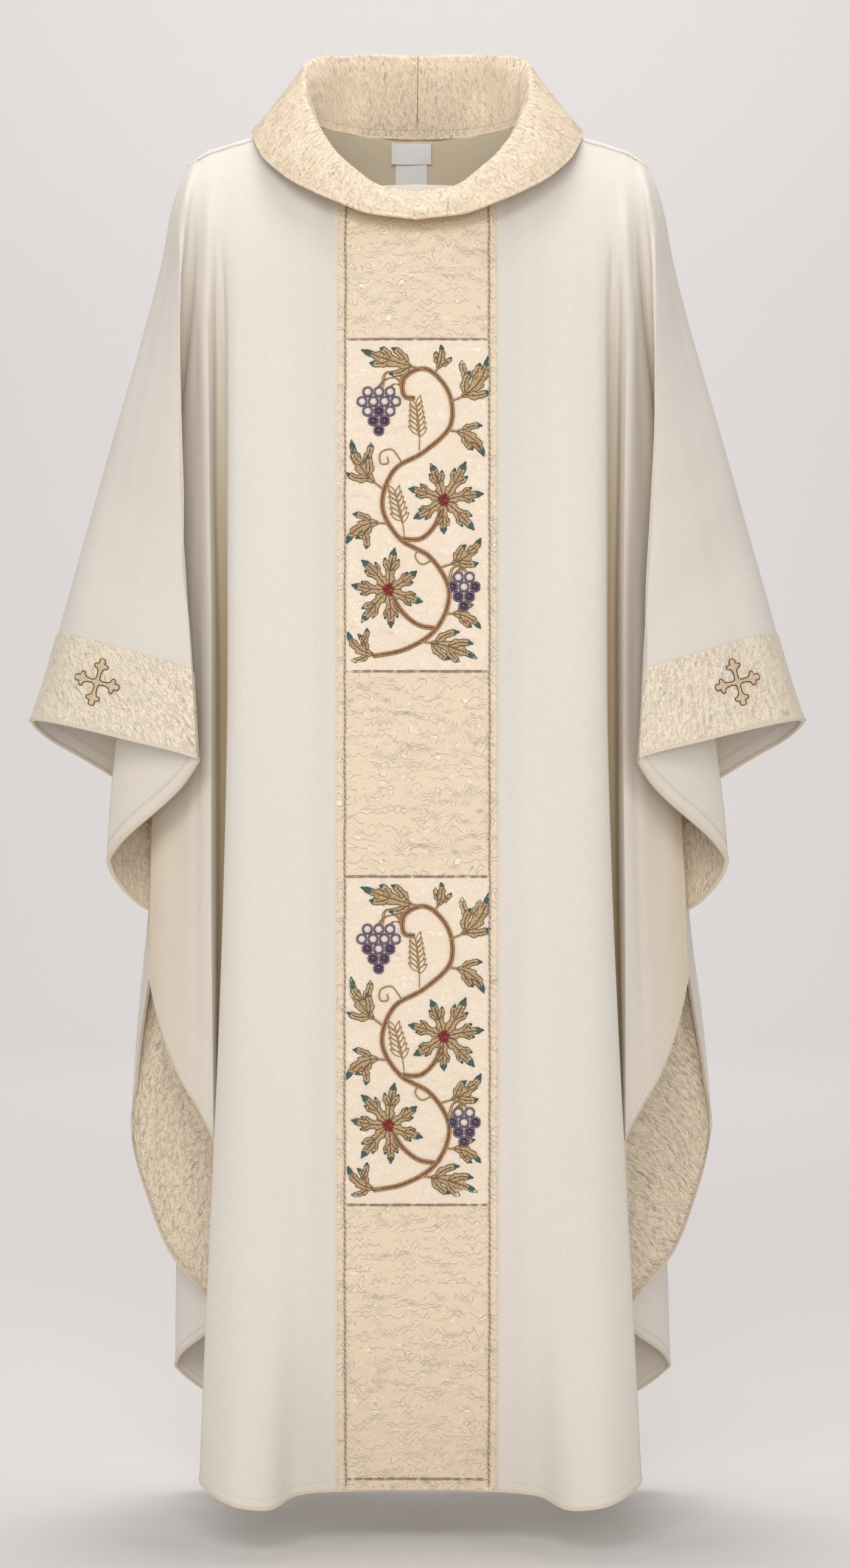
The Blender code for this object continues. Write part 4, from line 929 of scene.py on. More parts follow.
for number, level in enumerate(ORPHREY_JOINS):
    work = Needlework()
    reaches = np.arange(-PANEL_EDGE + 0.0012, PANEL_EDGE - 0.0011, 0.0017)
    for half in (-LADDER_HALF, LADDER_HALF):
        wander = 0.00012 * np.sin(reaches / 0.007 + half * 900 + number)
        path = np.stack((reaches, level + half + wander, np.full(len(reaches), GROUND + 0.00035)), axis=1)
        work.cord(path, LADDER_RADIUS, 0, sides=4)
    rungs = np.arange(-PANEL_EDGE + 0.0015, PANEL_EDGE - 0.0015, 0.00105)
    zigzag = np.where(np.arange(len(rungs)) % 2, 1.0, -1.0) * LADDER_HALF * 0.8
    path = np.stack((rungs, level + zigzag, np.full(len(rungs), GROUND + 0.00022)), axis=1)
    work.cord(path, LADDER_RADIUS * 0.9, 1, sides=4)
    kept(work.piece("orphrey_ladder_%d" % (number + 1), [mauve_thread, pale_thread], on_bed), "braid",
         "orphrey_cross_braid_%d" % (number + 1))

# Embroidered vines
# Each long panel carries a climbing grapevine worked in padded chain stitch with couched outlines,
# wheat ears, and grapes of round stones set in beaded rings.
PAD = 0.0011
OUTLINE_RADIUS = 0.00042
STEM_RADIUS = 0.00095
SWEEP = 0.6
tan_thread = thread("tan_thread", (0.34, 0.20, 0.075), (0.94, 0.75, 0.45), 0.0021, 0.55, (620.0, 900.0))
olive_thread = thread("olive_thread", (0.14, 0.115, 0.05), (0.36, 0.31, 0.16), 0.0015)
teal_thread = thread("teal_thread", (0.035, 0.085, 0.078), (0.15, 0.23, 0.20), 0.0015, 0.5, (900.0, 1100.0))
russet_thread = thread("russet_thread", (0.17, 0.045, 0.025), (0.42, 0.16, 0.08), 0.0015)
red_thread = thread("red_thread", (0.26, 0.012, 0.014), (0.52, 0.04, 0.035), 0.0012)
brown_thread = thread("brown_thread", (0.30, 0.155, 0.060), (0.74, 0.49, 0.23), 0.0018)
gold_thread = thread("gold_thread", (0.36, 0.21, 0.07), (0.66, 0.46, 0.20), 0.0016, 0.4)
purple_thread = thread("purple_thread", (0.085, 0.035, 0.085), (0.48, 0.38, 0.47), 0.0015, 0.45, (1300.0, 1300.0))


def stone(name, colour, gloss, coat):
    """Polished round stone with a faint cloud in it."""
    made, tree, shader, place = new_finish(name, gloss)
    shader.inputs["Coat Weight"].default_value = coat
    shader.inputs["Coat Roughness"].default_value = 0.08
    cloud = noise(tree, scaled(tree, place, (420, 420, 1)), 2.0)
    dim = tuple(value * 0.72 for value in colour)
    tree.links.new(blend_colours(tree, cloud, dim, colour), shader.inputs["Base Color"])
    tree.links.new(spread(tree, cloud, 0.2, 0.8, gloss * 0.7, gloss * 1.4), shader.inputs["Roughness"])
    return made


pearl_stone = stone("pearl_stone", (0.86, 0.80, 0.72), 0.22, 0.6)
plum_stone = stone("plum_stone", (0.045, 0.014, 0.055), 0.12, 1.0)
VINE_THREADS = [tan_thread, olive_thread, teal_thread, russet_thread, red_thread, brown_thread, gold_thread,
                purple_thread, pearl_stone, plum_stone]
TAN, OLIVE, TEAL, RUSSET, RED, BROWN, GOLD, PURPLE, PEARL, PLUM = range(10)


def curve(points, step=0.0024):
    """Smooth path through flat points, in even steps."""
    points = np.array([(x, y, 0.0) for x, y in points])
    fine = eased(points, [12] * (len(points) - 1))[:, :2]
    run = np.concatenate(([0], np.cumsum(np.linalg.norm(np.diff(fine, axis=0), axis=1))))
    stations = np.linspace(0, run[-1], max(int(run[-1] / step), 4) + 1)
    return np.stack([np.interp(stations, run, fine[:, k]) for k in (0, 1)], axis=1)


def raised(flat, lift):
    return np.column_stack((flat, np.broadcast_to(lift, len(flat))))


def across_path(path):
    along = unit(np.gradient(path, axis=0))
    return np.stack((-along[:, 1], along[:, 0]), axis=1)


class Vine(Needlework):
    """Needlework drawn flat, in metres from the middle of a panel's lower edge."""

    def __init__(self, low):
        super().__init__()
        self.low = low
        self.layer = 0

    def draw(self, path, radius, spot, lift=0.0, sides=6):
        path = raised(path + (0, self.low), GROUND + lift)
        self.cord(path, radius, spot, sides=sides)

    def pad(self, rib, widths, spot, tip_spot, height=PAD):
        """Padded shape whose edges reach forward along its rib, with its outline cord."""
        self.layer = (self.layer + 1) % 8
        base = GROUND + 0.00010 * self.layer
        run = np.concatenate(([0], np.cumsum(np.linalg.norm(np.diff(rib, axis=0), axis=1))))
        side = across_path(rib)
        shares = np.linspace(-1, 1, 7)
        stations = np.minimum(run[:, None] + SWEEP * widths[:, None] * np.abs(shares), run[-1])
        on_rib = np.stack([np.interp(stations, run, rib[:, k]) for k in (0, 1)], axis=2)
        outward = np.stack([np.interp(stations, run, side[:, k]) for k in (0, 1)], axis=2)
        flat = on_rib + outward * (widths[:, None] * shares[None, :])[:, :, None]
        crown = height * np.sqrt(np.clip(1 - shares ** 2, 0, 1)) * 0.9
        groove = 1 - 0.35 * np.exp(-(shares / 0.22) ** 2)
        lift = base - 0.0002 + crown[None, :] * groove[None, :] * np.minimum(widths / 0.003, 1)[:, None]
        grid = np.concatenate((flat + (0, self.low), lift[:, :, None]), axis=2)
        places = np.stack((np.broadcast_to(run[:, None], lift.shape), widths[:, None] * shares[None, :]), axis=2)
        cut = int(len(rib) * 0.78)
        self.grid(grid[:cut + 1], places[:cut + 1], spot)
        self.grid(grid[cut:], places[cut:], tip_spot)
        outline = np.concatenate((flat[:, -1], flat[::-1, 0]))
        bend = int(len(rib) * 0.68)
        for part, tone in ((outline[:bend], OLIVE), (outline[bend - 1:2 * len(rib) - bend + 1], TEAL),
                           (outline[2 * len(rib) - bend:], OLIVE)):
            if len(part) > 2:
                self.draw(part, OUTLINE_RADIUS, tone, base - GROUND + 0.00022, sides=4)

    def blade(self, start, angle, length, width, bend=0.0, teeth=3):
        """Pointed leaf blade with a toothed edge and a red-brown vein."""
        count = max(int(length / 0.0011), 8)
        share = np.linspace(0, 1, count + 1)
        turn = angle + bend * (share - 0.25)
        steps = np.stack((np.cos(turn), np.sin(turn)), axis=1) * length / count
        rib = np.array(start) + np.concatenate(([[0, 0]], np.cumsum(steps[:-1], axis=0)))
        swell = np.sin(np.pi * share ** 0.70) ** 0.85
        phase = np.mod(teeth * share + 0.2, 1)
        tooth = np.where(phase < 0.72, phase / 0.72, (1 - phase) / 0.28)
        widths = width * swell * (0.60 + 0.48 * tooth) + 0.0003
        self.pad(rib, widths, TAN, TEAL)
        vein = rib[1:int(count * 0.82)]
        self.draw(vein, 0.00050, RUSSET, PAD * 0.70 + 0.00010 * self.layer, sides=4)
        return rib

    def leaf(self, points, width, lobes):
        """Long leaf whose side lobes spring from a curved rib and curl back."""
        rib = curve(points)
        count = len(rib)
        along = unit(np.gradient(rib, axis=0))
        for share, side, length, spread_angle in lobes:
            k = int(share * (count - 1))
            angle = np.arctan2(along[k, 1], along[k, 0]) + side * spread_angle
            self.blade(rib[k], angle, length * 1.55, width * 0.50, -0.9 * side, teeth=2)
        k = int(0.20 * (count - 1))
        angle = np.arctan2(along[k, 1], along[k, 0])
        rest = np.sum(np.linalg.norm(np.diff(rib[k:], axis=0), axis=1))
        end = np.arctan2(along[-1, 1], along[-1, 0])
        turn = (end - angle + np.pi) % (2 * np.pi) - np.pi
        self.blade(rib[k], angle + turn * 0.25, rest, width * 0.72, turn, teeth=4)
        self.draw(rib[:k + 2], STEM_RADIUS, BROWN, 0.0009)

    def rosette(self, middle, blades):
        """Star of toothed leaf blades round a red heart."""
        for angle, length, width, bend in blades:
            turned = np.radians(angle)
            start = np.array(middle) + 0.002 * np.array((np.cos(turned), np.sin(turned)))
            for side in (-1, 1):
                near = start + np.array((np.cos(turned), np.sin(turned))) * length * 0.42
                self.blade(near, turned + side * 0.62, length * 0.36, width * 0.52, -side * 0.5, teeth=1)
            self.blade(start, turned, length, width, bend, teeth=3)
        for k in range(12):
            angle, reach = k * 2.4, 0.0016 * np.sqrt(k)
            self.knot(np.array(middle) + reach * np.array((np.cos(angle), np.sin(angle))), 0.0016, RED, 0.0014)

    def knot(self, middle, radius, spot, lift, rings=4, sides=8, height=1.0):
        """Small dome."""
        tilt = np.linspace(0, np.pi / 2, rings)
        angles = np.arange(sides + 1) * 2 * np.pi / sides
        reach = radius * np.cos(tilt)[:, None] * 0.999 + 1e-5
        x = middle[0] + reach * np.cos(angles)[None, :]
        y = middle[1] + self.low + reach * np.sin(angles)[None, :]
        z = GROUND + lift - 0.0003 + radius * height * np.sin(tilt)[:, None] + 0 * x
        places = np.stack((x - middle[0], y - middle[1] - self.low), axis=2)
        self.grid(np.stack((x, y, z), axis=2), places, spot)

    def grape(self, middle, spot):
        angles = np.linspace(0, 2 * np.pi, 17)
        circle = np.array(middle) + 0.0043 * np.stack((np.cos(angles), np.sin(angles)), axis=1)
        self.draw(circle, 0.00115, PURPLE, 0.0006)
        self.knot(middle, 0.0034, spot, 0.0008, 5, 12, 0.62)

    def cluster(self, top, rows, stems):
        """Bunch of grapes hanging from its stalks."""
        for stem in stems:
            for shift in (-0.0009, 0.0009):
                path = curve([(x + shift, y) for x, y in stem])
                self.draw(path, 0.00055, BROWN, 0.0006, sides=4)
        for row, (count, spots) in enumerate(rows):
            for k in range(count):
                middle = (top[0] + (k - (count - 1) / 2) * 0.0106, top[1] - row * 0.0092)
                self.grape(middle, spots[k % len(spots)])

    def stem(self, points):
        """Twin brown cords with a russet core."""
        path = curve(points)
        side = across_path(path)
        for shift, spot, lift in ((-0.00135, BROWN, 0.0007), (0.00135, BROWN, 0.0007), (0.0, RUSSET, 0.0006)):
            self.draw(path + side * shift, STEM_RADIUS if shift else STEM_RADIUS * 0.7, spot, lift)
        return path

    def wheat(self, start, angle, length, grains):
        """Ear of wheat on its stalk."""
        along = np.array((np.cos(angle), np.sin(angle)))
        end = np.array(start) + along * length
        self.draw(curve([start, (np.array(start) + end) / 2 + (0.0015, 0), end]), 0.0006, GOLD, 0.0006, sides=4)
        for k in range(grains):
            base = np.array(start) + along * length * (0.30 + 0.66 * k / grains)
            side = 1 if k % 2 else -1
            turn = angle + side * 0.80 * (1 - 0.5 * k / grains)
            share = np.linspace(0, 1, 8)
            rib = base + np.outer(share * 0.0120, (np.cos(turn), np.sin(turn)))
            widths = 0.0018 * np.sin(np.pi * share ** 0.8) + 0.0002
            across = np.array((-np.sin(turn), np.cos(turn)))
            loop = np.concatenate((rib + across * widths[:, None], (rib - across * widths[:, None])[::-1]))
            self.draw(loop, 0.00050, GOLD, 0.0005, sides=4)


def mm(*pairs):
    """Flat points given in millimetres."""
    return [(x / 1000, y / 1000) for x, y in pairs]


def embroider(name, low, tall, hue):
    """One panel's vine. Hue shifts which stones are dark."""
    work = Vine(low)
    fit = tall / 0.312
    size = lambda pairs: [(x * 0.91, y * fit) for x, y in pairs]
    main = size(mm((-46, 14), (-14, 20), (20, 40), (33, 74), (14, 106), (-18, 124), (-36, 154), (-24, 188),
                   (8, 206), (35, 232), (30, 266), (6, 284), (-14, 274), (-12, 257), (-2, 256)))
    work.stem(main)
    work.stem(size(mm((-18, 124), (4, 124), (18, 136), (25, 152))))
    work.stem(size(mm((20, 40), (2, 43), (-14, 54), (-26, 70))))
    work.draw(curve(size(mm((-16, 196), (-28, 208), (-38, 204), (-37, 194), (-30, 195), (-31, 201))), 0.0016),
              0.00075, GOLD, 0.0007, sides=4)
    work.draw(curve(size(mm((16, 104), (4, 100), (-2, 108), (3, 114), (8, 110))), 0.0016),
              0.00075, GOLD, 0.0007, sides=4)
    work.wheat((0.002, 0.206 * fit), np.radians(94), 0.046, 13)
    work.wheat((-0.012, 0.126 * fit), np.radians(102), 0.044, 12)
    work.leaf(size(mm((-36, 15), (-54, 18), (-61, 42))), 0.0060,
              [(0.35, 1, 0.012, 0.8), (0.40, -1, 0.013, 0.9), (0.62, -1, 0.011, 0.8)])
    work.leaf(size(mm((2, 28), (28, 24), (60, 8))), 0.0075,
              [(0.28, 1, 0.017, 0.8), (0.26, -1, 0.015, 0.8), (0.52, 1, 0.016, 0.7), (0.50, -1, 0.012, 0.7)])
    work.leaf(size(mm((28, 54), (48, 52), (61, 36))), 0.0060,
              [(0.35, 1, 0.012, 0.8), (0.40, -1, 0.011, 0.8)])
    work.leaf(size(mm((24, 97), (44, 104), (58, 130))), 0.0070,
              [(0.32, 1, 0.013, 0.8), (0.36, -1, 0.013, 0.8), (0.60, -1, 0.011, 0.7)])
    work.leaf(size(mm((-31, 138), (-50, 138), (-61, 112))), 0.0068,
              [(0.36, 1, 0.014, 0.8), (0.36, -1, 0.013, 0.8), (0.62, 1, 0.011, 0.7)])
    work.leaf(size(mm((-35, 170), (-52, 184), (-57, 220))), 0.0075,
              [(0.30, 1, 0.015, 0.8), (0.34, -1, 0.013, 0.8), (0.58, 1, 0.011, 0.7), (0.60, -1, 0.013, 0.7)])
    work.leaf(size(mm((32, 226), (50, 222), (58, 196))), 0.0068,
              [(0.32, 1, 0.014, 0.8), (0.34, -1, 0.012, 0.8), (0.60, 1, 0.011, 0.7)])
    work.leaf(size(mm((33, 252), (50, 260), (55, 302))), 0.0080,
              [(0.28, 1, 0.015, 0.8), (0.30, -1, 0.016, 0.8), (0.54, 1, 0.014, 0.7), (0.56, -1, 0.011, 0.7)])
    work.leaf(size(mm((8, 283), (-22, 290), (-57, 304))), 0.0078,
              [(0.26, 1, 0.014, 0.8), (0.30, -1, 0.015, 0.8), (0.54, 1, 0.013, 0.7), (0.56, -1, 0.010, 0.7)])
    work.leaf(size(mm((18, 279), (24, 290), (20, 306))), 0.0050, [(0.4, 1, 0.009, 0.8), (0.4, -1, 0.009, 0.8)])
    work.rosette((-0.027, 0.076 * fit),
                 [(30, 0.030, 0.0050, 0.3), (84, 0.038, 0.0054, -0.2), (128, 0.036, 0.0052, 0.3),
                  (176, 0.033, 0.0050, -0.3), (228, 0.038, 0.0054, 0.2), (276, 0.034, 0.0050, -0.2),
                  (338, 0.032, 0.0050, 0.2)])
    work.rosette((0.025, 0.160 * fit),
                 [(12, 0.036, 0.0052, -0.2), (58, 0.040, 0.0054, 0.2), (106, 0.035, 0.0052, 0.3),
                  (158, 0.033, 0.0050, 0.3), (214, 0.031, 0.0050, -0.2), (268, 0.030, 0.0050, 0.2),
                  (318, 0.038, 0.0054, -0.2)])
    dark = [PLUM, PEARL] if hue else [PEARL, PLUM]
    work.cluster((-0.036, 0.262 * fit),
                 [(3, [PEARL]), (4, [PEARL, PEARL]), (3, dark), (2, [PLUM]), (1, [PLUM])],
                 [size(mm((-13, 270), (-22, 281), (-32, 280), (-36, 266))),
                  size(mm((-14, 266), (-22, 275), (-32, 274), (-42, 264))),
                  size(mm((-14, 262), (-19, 269), (-25, 269), (-29, 263)))])
    work.cluster((0.044, 0.088 * fit), [(2, [PEARL]), (3, [PLUM, PEARL]), (2, [PLUM]), (1, [PLUM])],
                 [size(mm((33, 84), (38, 97), (44, 98), (46, 92))), size(mm((33, 80), (41, 93), (47, 97), (51, 92)))])
    return kept(work.piece(name, VINE_THREADS, on_bed), name.replace("_embroidery", ""))


embroider("orphrey_vine_upper_embroidery", ORPHREY_JOINS[1], ORPHREY_JOINS[0] - ORPHREY_JOINS[1], 0)
embroider("orphrey_vine_lower_embroidery", ORPHREY_JOINS[3], ORPHREY_JOINS[2] - ORPHREY_JOINS[3], 1)

# Cuffs
# A straight band of brocade runs round each sleeve opening, on the outer face of the front and back.
# Its lower edge meets the bound edge of the wool.
cuff_brocade = brocade("cuff_brocade", (0.94, 0.80, 0.62), (1.0, 0.95, 0.85), 0.0064, 0.035, 68.0, 0.30, 0.0003, 0.16, 0.45)
cuff_beds = {}
for word, side in (("left", -1), ("right", 1)):
    for panel, cloth, folds, first in (("front", front_cloth, FRONT, "hollow"),
                                       ("back", back_cloth, BACK, "under hollow")):
        span = span_of(cloth, folds, first, "arm", side)
        points, tilts, places = laid_part(cloth, slice(cloth.row[BAND_ROW], None), span, 1)
        piece = shell("cuff_%s_%s_brocade" % (panel, word), points, tilts, WALL / 2 + LAID,
                      WALL / 2 + LAID + TRIM, places, [cuff_brocade])
        kept(piece, "cuff", "cuff_%s_%s" % (panel, word))
        if panel == "front":
            cuff_beds[side] = (points, tilts)

# Crosses on the cuffs
# A budded cross on each front cuff: gold chain stitch inside a dark couched outline.
CROSS_PLACE = (0.308, -0.515)
CROSS_TILT = 15.7
CROSS_ARM = [(2.5, 2.5), (4.4, 1.9), (8.0, 1.8), (11.4, 2.4), (13.4, 3.8), (13.9, 5.6), (15.3, 7.0), (17.2, 6.5),
             (17.8, 4.5), (18.1, 2.9), (20.4, 3.2), (22.4, 2.2), (23.0, 0.0)]
cross_gold = thread("cross_gold", (0.66, 0.46, 0.27), (1.0, 0.83, 0.62), 0.0018, 0.42, (780.0, 780.0))
cross_outline = thread("cross_outline", (0.045, 0.020, 0.009), (0.12, 0.060, 0.028), 0.0014)


def on_cuff(side):
    """Places flat points of the cross, in its own axes, on the cuff's outer face."""
    points, tilts = cuff_beds[side]
    tree = face_tree(points, tilts, WALL / 2 + LAID + TRIM)
    turn = np.radians(CROSS_TILT) * side

    def place(across, up, lift):
        placed = []
        for x, y, z in zip(across, up, lift):
            reach = side * CROSS_PLACE[0] + x * np.cos(turn) - y * np.sin(turn)
            level = CROSS_PLACE[1] + x * np.sin(turn) + y * np.cos(turn)
            hit, tilt = tree.ray_cast(Vector((reach, -1, level)), Vector((0, 1, 0)))[:2]
            tilt = tilt if tilt.y < 0 else -tilt
            placed.append(hit + tilt * z)
        return np.array(placed)

    return place


for word, side in (("left", -1), ("right", 1)):
    work = Needlework()
    profile = eased(np.array([(*pair, 0.0) for pair in CROSS_ARM]) / 1000, [3] * (len(CROSS_ARM) - 1))[:, :2]
    rim = []
    for quarter in range(4):
        c, s = ((1, 0), (0, 1), (-1, 0), (0, -1))[quarter]
        shares = np.linspace(-1, 1, 7)
        far, half = profile[:, 0], profile[:, 1]
        u, v = far[:, None] + 0 * shares, half[:, None] * shares[None, :]
        lift = 0.0002 + 0.0010 * np.sqrt(np.clip(1 - shares ** 2, 0, 1))[None, :] * np.minimum(half / 0.003, 1)[:, None]
        work.grid(np.stack((c * u - s * v, s * u + c * v, lift), axis=2), np.stack((u, v), axis=2), 0)
        sides = np.concatenate((np.stack((far, -half), axis=1), np.stack((far, half), axis=1)[-2::-1]))
        rim.append(np.stack((c * sides[:, 0] - s * sides[:, 1], s * sides[:, 0] + c * sides[:, 1]), axis=1))
    centre = np.linspace(-CROSS_ARM[0][0], CROSS_ARM[0][0], 7) / 1000
    u, v = np.meshgrid(centre, centre, indexing="ij")
    work.grid(np.stack((u, v, 0 * u + 0.0011), axis=2), np.stack((u, v), axis=2), 0)
    loop = np.concatenate(rim + [rim[0][:1]])
    loop = loop[np.concatenate(([True], np.linalg.norm(np.diff(loop, axis=0), axis=1) > 0.0003))]
    work.cord(raised(loop, 0.0006), 0.00045, 1, sides=6)
    kept(work.piece("cuff_cross_" + word, [cross_gold, cross_outline], on_cuff(side)), "cuff_cross",
         "cuff_cross_" + word)

# Bound edges
# A narrow bias strip of the wool is folded over the free edge of the front and the back and sewn down.
BINDING = 0.0006
BINDING_WIDTH = 0.0032
binding_wool = wool("binding_wool", (0.80, 0.71, 0.59), (0.72, 0.62, 0.49), 1500.0)


def above_edge(cloth, columns, up):
    """Points, normals and downward directions at a distance above the free edge."""
    points, tilts = [], []
    for column in columns:
        run = cloth.down[:, column]
        at = run[-1] - up
        row = min(int(np.searchsorted(run, at, side="right")) - 1, len(run) - 2)
        share = (at - run[row]) / (run[row + 1] - run[row])
        points.append(cloth.points[row, column] * (1 - share) + cloth.points[row + 1, column] * share)
        tilts.append(cloth.normals[row, column] * (1 - share) + cloth.normals[row + 1, column] * share)
    fall = unit(cloth.points[-1, columns] - cloth.points[-2, columns])
    return np.array(points), unit(np.array(tilts)), fall


def binding(name, cloth, columns, outer_lift, inner_lift, node):
    """Strip folded over the free edge."""
    edge, tilt, fall = above_edge(cloth, columns, 0.0)
    upper, upper_tilt, _ = above_edge(cloth, columns, BINDING_WIDTH)
    out, back = (WALL / 2 + outer_lift)[:, None], (WALL / 2 + inner_lift)[:, None]
    points = np.stack((upper + upper_tilt * out, edge + tilt * out, edge + fall * LAID, edge - tilt * back,
                       upper - upper_tilt * back))
    tilts = np.stack((upper_tilt, unit(tilt + fall), fall, unit(fall - tilt), -upper_tilt))
    points = eased(points, [3, 2, 2, 3])
    tilts = unit(eased(tilts + points[[0, 3, 5, 7, -1]] * 0, [3, 2, 2, 3]))
    run = np.concatenate(([0], np.cumsum(np.linalg.norm(np.diff(edge, axis=0), axis=1))))
    height = np.linspace(-BINDING_WIDTH, BINDING_WIDTH, len(points))
    places = np.stack(np.broadcast_arrays(run[None, :], height[:, None]), axis=2)
    return kept(shell(name, points, tilts, 0.00005, BINDING, places, [binding_wool]), node)


def lift_over(cloth, folds, first, last, lift):
    """Lift per fine column where another cloth covers the edge between two folds."""
    values = np.zeros(cloth.points.shape[1])
    for side in (-1, 1):
        values[span_of(cloth, folds, first, last, side)] = lift
    return values


covered = LAID + TRIM
front_over = lift_over(front_cloth, FRONT, "hollow", "arm", covered)
back_over = lift_over(back_cloth, BACK, "under hollow", "arm", covered)
all_columns = np.arange(front_cloth.points.shape[1])
front_binding = binding("front_binding", front_cloth, all_columns, front_over, 0 * front_over, "front")
all_columns = np.arange(back_cloth.points.shape[1])
back_binding = binding("back_binding", back_cloth, all_columns, back_over, 0 * back_over, "back")

# Collar
# A wide collar of brocade stands up from the neck seam, rolls over and falls outward clear of the
# shoulders. It is cut in one with a seam at the middle of the back.
COLLAR_WALL = 0.0020
COLLAR_STEPS = 176
COLLAR_SOFT = 0.011
COLLAR_BULGE = 0.004
COLLAR_CUTS = [4, 8, 3, 3, 6, 6]
COLLAR = (
    ((0.000, 0.085, 0.038), (0.000, 0.106, 0.130), (0.000, 0.128, 0.046)),
    ((0.045, 0.076, 0.038), (0.050, 0.104, 0.131), (0.062, 0.122, 0.046)),
    ((0.075, 0.050, 0.038), (0.090, 0.090, 0.127), (0.112, 0.100, 0.046)),
    ((0.093, 0.024, 0.038), (0.112, 0.056, 0.108), (0.148, 0.056, 0.042)),
    ((0.100, 0.000, 0.036), (0.111, 0.016, 0.076), (0.163, 0.008, 0.030)),
    ((0.092, -0.026, 0.010), (0.100, -0.020, 0.042), (0.152, -0.036, -0.001)),
    ((0.0757, -0.049, -0.016), (0.084, -0.050, 0.010), (0.123, -0.076, -0.032)),
    ((0.050, -0.071, -0.043), (0.057, -0.076, -0.020), (0.082, -0.104, -0.056)),
    ((0.026, -0.082, -0.056), (0.030, -0.089, -0.039), (0.042, -0.118, -0.072)),
    ((0.000, -0.0855, -0.0610), (0.000, -0.092, -0.044), (0.000, -0.122, -0.078)),
)
# Dents and swells: share of the way from back to front, share from neck seam to lower edge,
# spans both ways, depth.
COLLAR_DENTS = [(0.17, 0.30, 0.045, 0.20, 0.0055), (-0.18, 0.28, 0.040, 0.22, 0.0050),
                (0.27, 0.35, 0.030, 0.18, -0.0025), (-0.29, 0.33, 0.034, 0.18, -0.0028),
                (0.60, 0.78, 0.050, 0.22, -0.0022), (-0.64, 0.80, 0.055, 0.22, -0.0018),
                (0.80, 0.66, 0.040, 0.20, 0.0014), (-0.84, 0.70, 0.050, 0.20, 0.0012),
                (0.06, 0.24, 0.030, 0.18, -0.0016), (0.95, 0.34, 0.030, 0.15, -0.0014)]


def collar_row(share):
    """Neck seam, roll and lower edge at a share of the way from back to front."""
    knots = np.linspace(0, 1, len(COLLAR))
    table = np.array(COLLAR)
    return np.array([[smooth_value(knots, table[:, k, axis], share) for axis in range(3)]
                     for k in range(3)])


def rounded(before, corner, after, soft):
    """Start, crest and stop of the arc that eases a corner."""
    start = corner + unit(before - corner) * min(soft, ARC_SHARE * np.linalg.norm(before - corner))
    stop = corner + unit(after - corner) * min(soft, ARC_SHARE * np.linalg.norm(after - corner))
    return start, 0.25 * start + 0.5 * corner + 0.25 * stop, stop


def collar_section(share):
    seam, roll, edge = collar_row(share)
    away = unit(edge - seam)
    start, crest, stop = rounded(seam, roll, edge, COLLAR_SOFT)
    return [seam, (seam + start) / 2 - away * COLLAR_BULGE / 2, start, crest, stop,
            (stop + edge) / 2 + away * COLLAR_BULGE, edge]


half_steps = COLLAR_STEPS // 2
halves = [np.array(collar_section(k / half_steps)) for k in range(half_steps + 1)]
ring = np.array(halves + [half * (-1, 1, 1) for half in halves[-2::-1]])
ring = eased(ring.transpose(1, 0, 2), COLLAR_CUTS).transpose(1, 0, 2)
turns = np.concatenate((np.linspace(0, 1, half_steps + 1), np.linspace(-1, 0, half_steps + 1)[1:]))
around = np.concatenate((ring[-2:-1], ring, ring[1:2]))
around = around[2:] - around[:-2]
collar_tilts = unit(np.cross(around, np.gradient(ring, axis=1)))
if collar_tilts[0, ring.shape[1] // 2, 2] < 0:
    collar_tilts = -collar_tilts
heights = run_lengths(ring, 1)
heights = heights / heights[:, -1:]
shift = np.zeros(heights.shape)
for turn, height, wide, tall, depth in COLLAR_DENTS:
    away = np.abs(turns - turn)
    away = np.minimum(away, 2 - away)
    shift -= depth * np.exp(-(away[:, None] / wide) ** 2 - ((heights - height) / tall) ** 2)
seam_calm = np.clip(heights / 0.12, 0, 1)
lengths = run_lengths(ring, 0)
shift += 0.0006 * np.sin(lengths / 0.0105 + 2 * np.sin(heights * 5)) * np.sin(heights * 9 + lengths / 0.03)
collar_points = ring + collar_tilts * (shift * seam_calm)[:, :, None]
around = np.concatenate((collar_points[-2:-1], collar_points, collar_points[1:2]))
fine_tilts = unit(np.cross(around[2:] - around[:-2], np.gradient(collar_points, axis=1)))
fine_tilts *= np.sign(np.sum(fine_tilts * collar_tilts, axis=2, keepdims=True))
collar_run = lengths[:, ring.shape[1] // 2]
collar_places = np.stack(np.broadcast_arrays(collar_run[:, None], run_lengths(ring, 1)), axis=2)
collar_brocade = brocade("collar_brocade", (0.80, 0.63, 0.44), (0.96, 0.84, 0.67), 0.0064, 0.030, 78.0, 0.32, 0.0003, 0.14, 0.40)
collar = shell("collar_brocade", collar_points, fine_tilts, -COLLAR_WALL / 2, COLLAR_WALL / 2,
               collar_places, [collar_brocade], closed=True)
kept(collar, "collar", "collar")

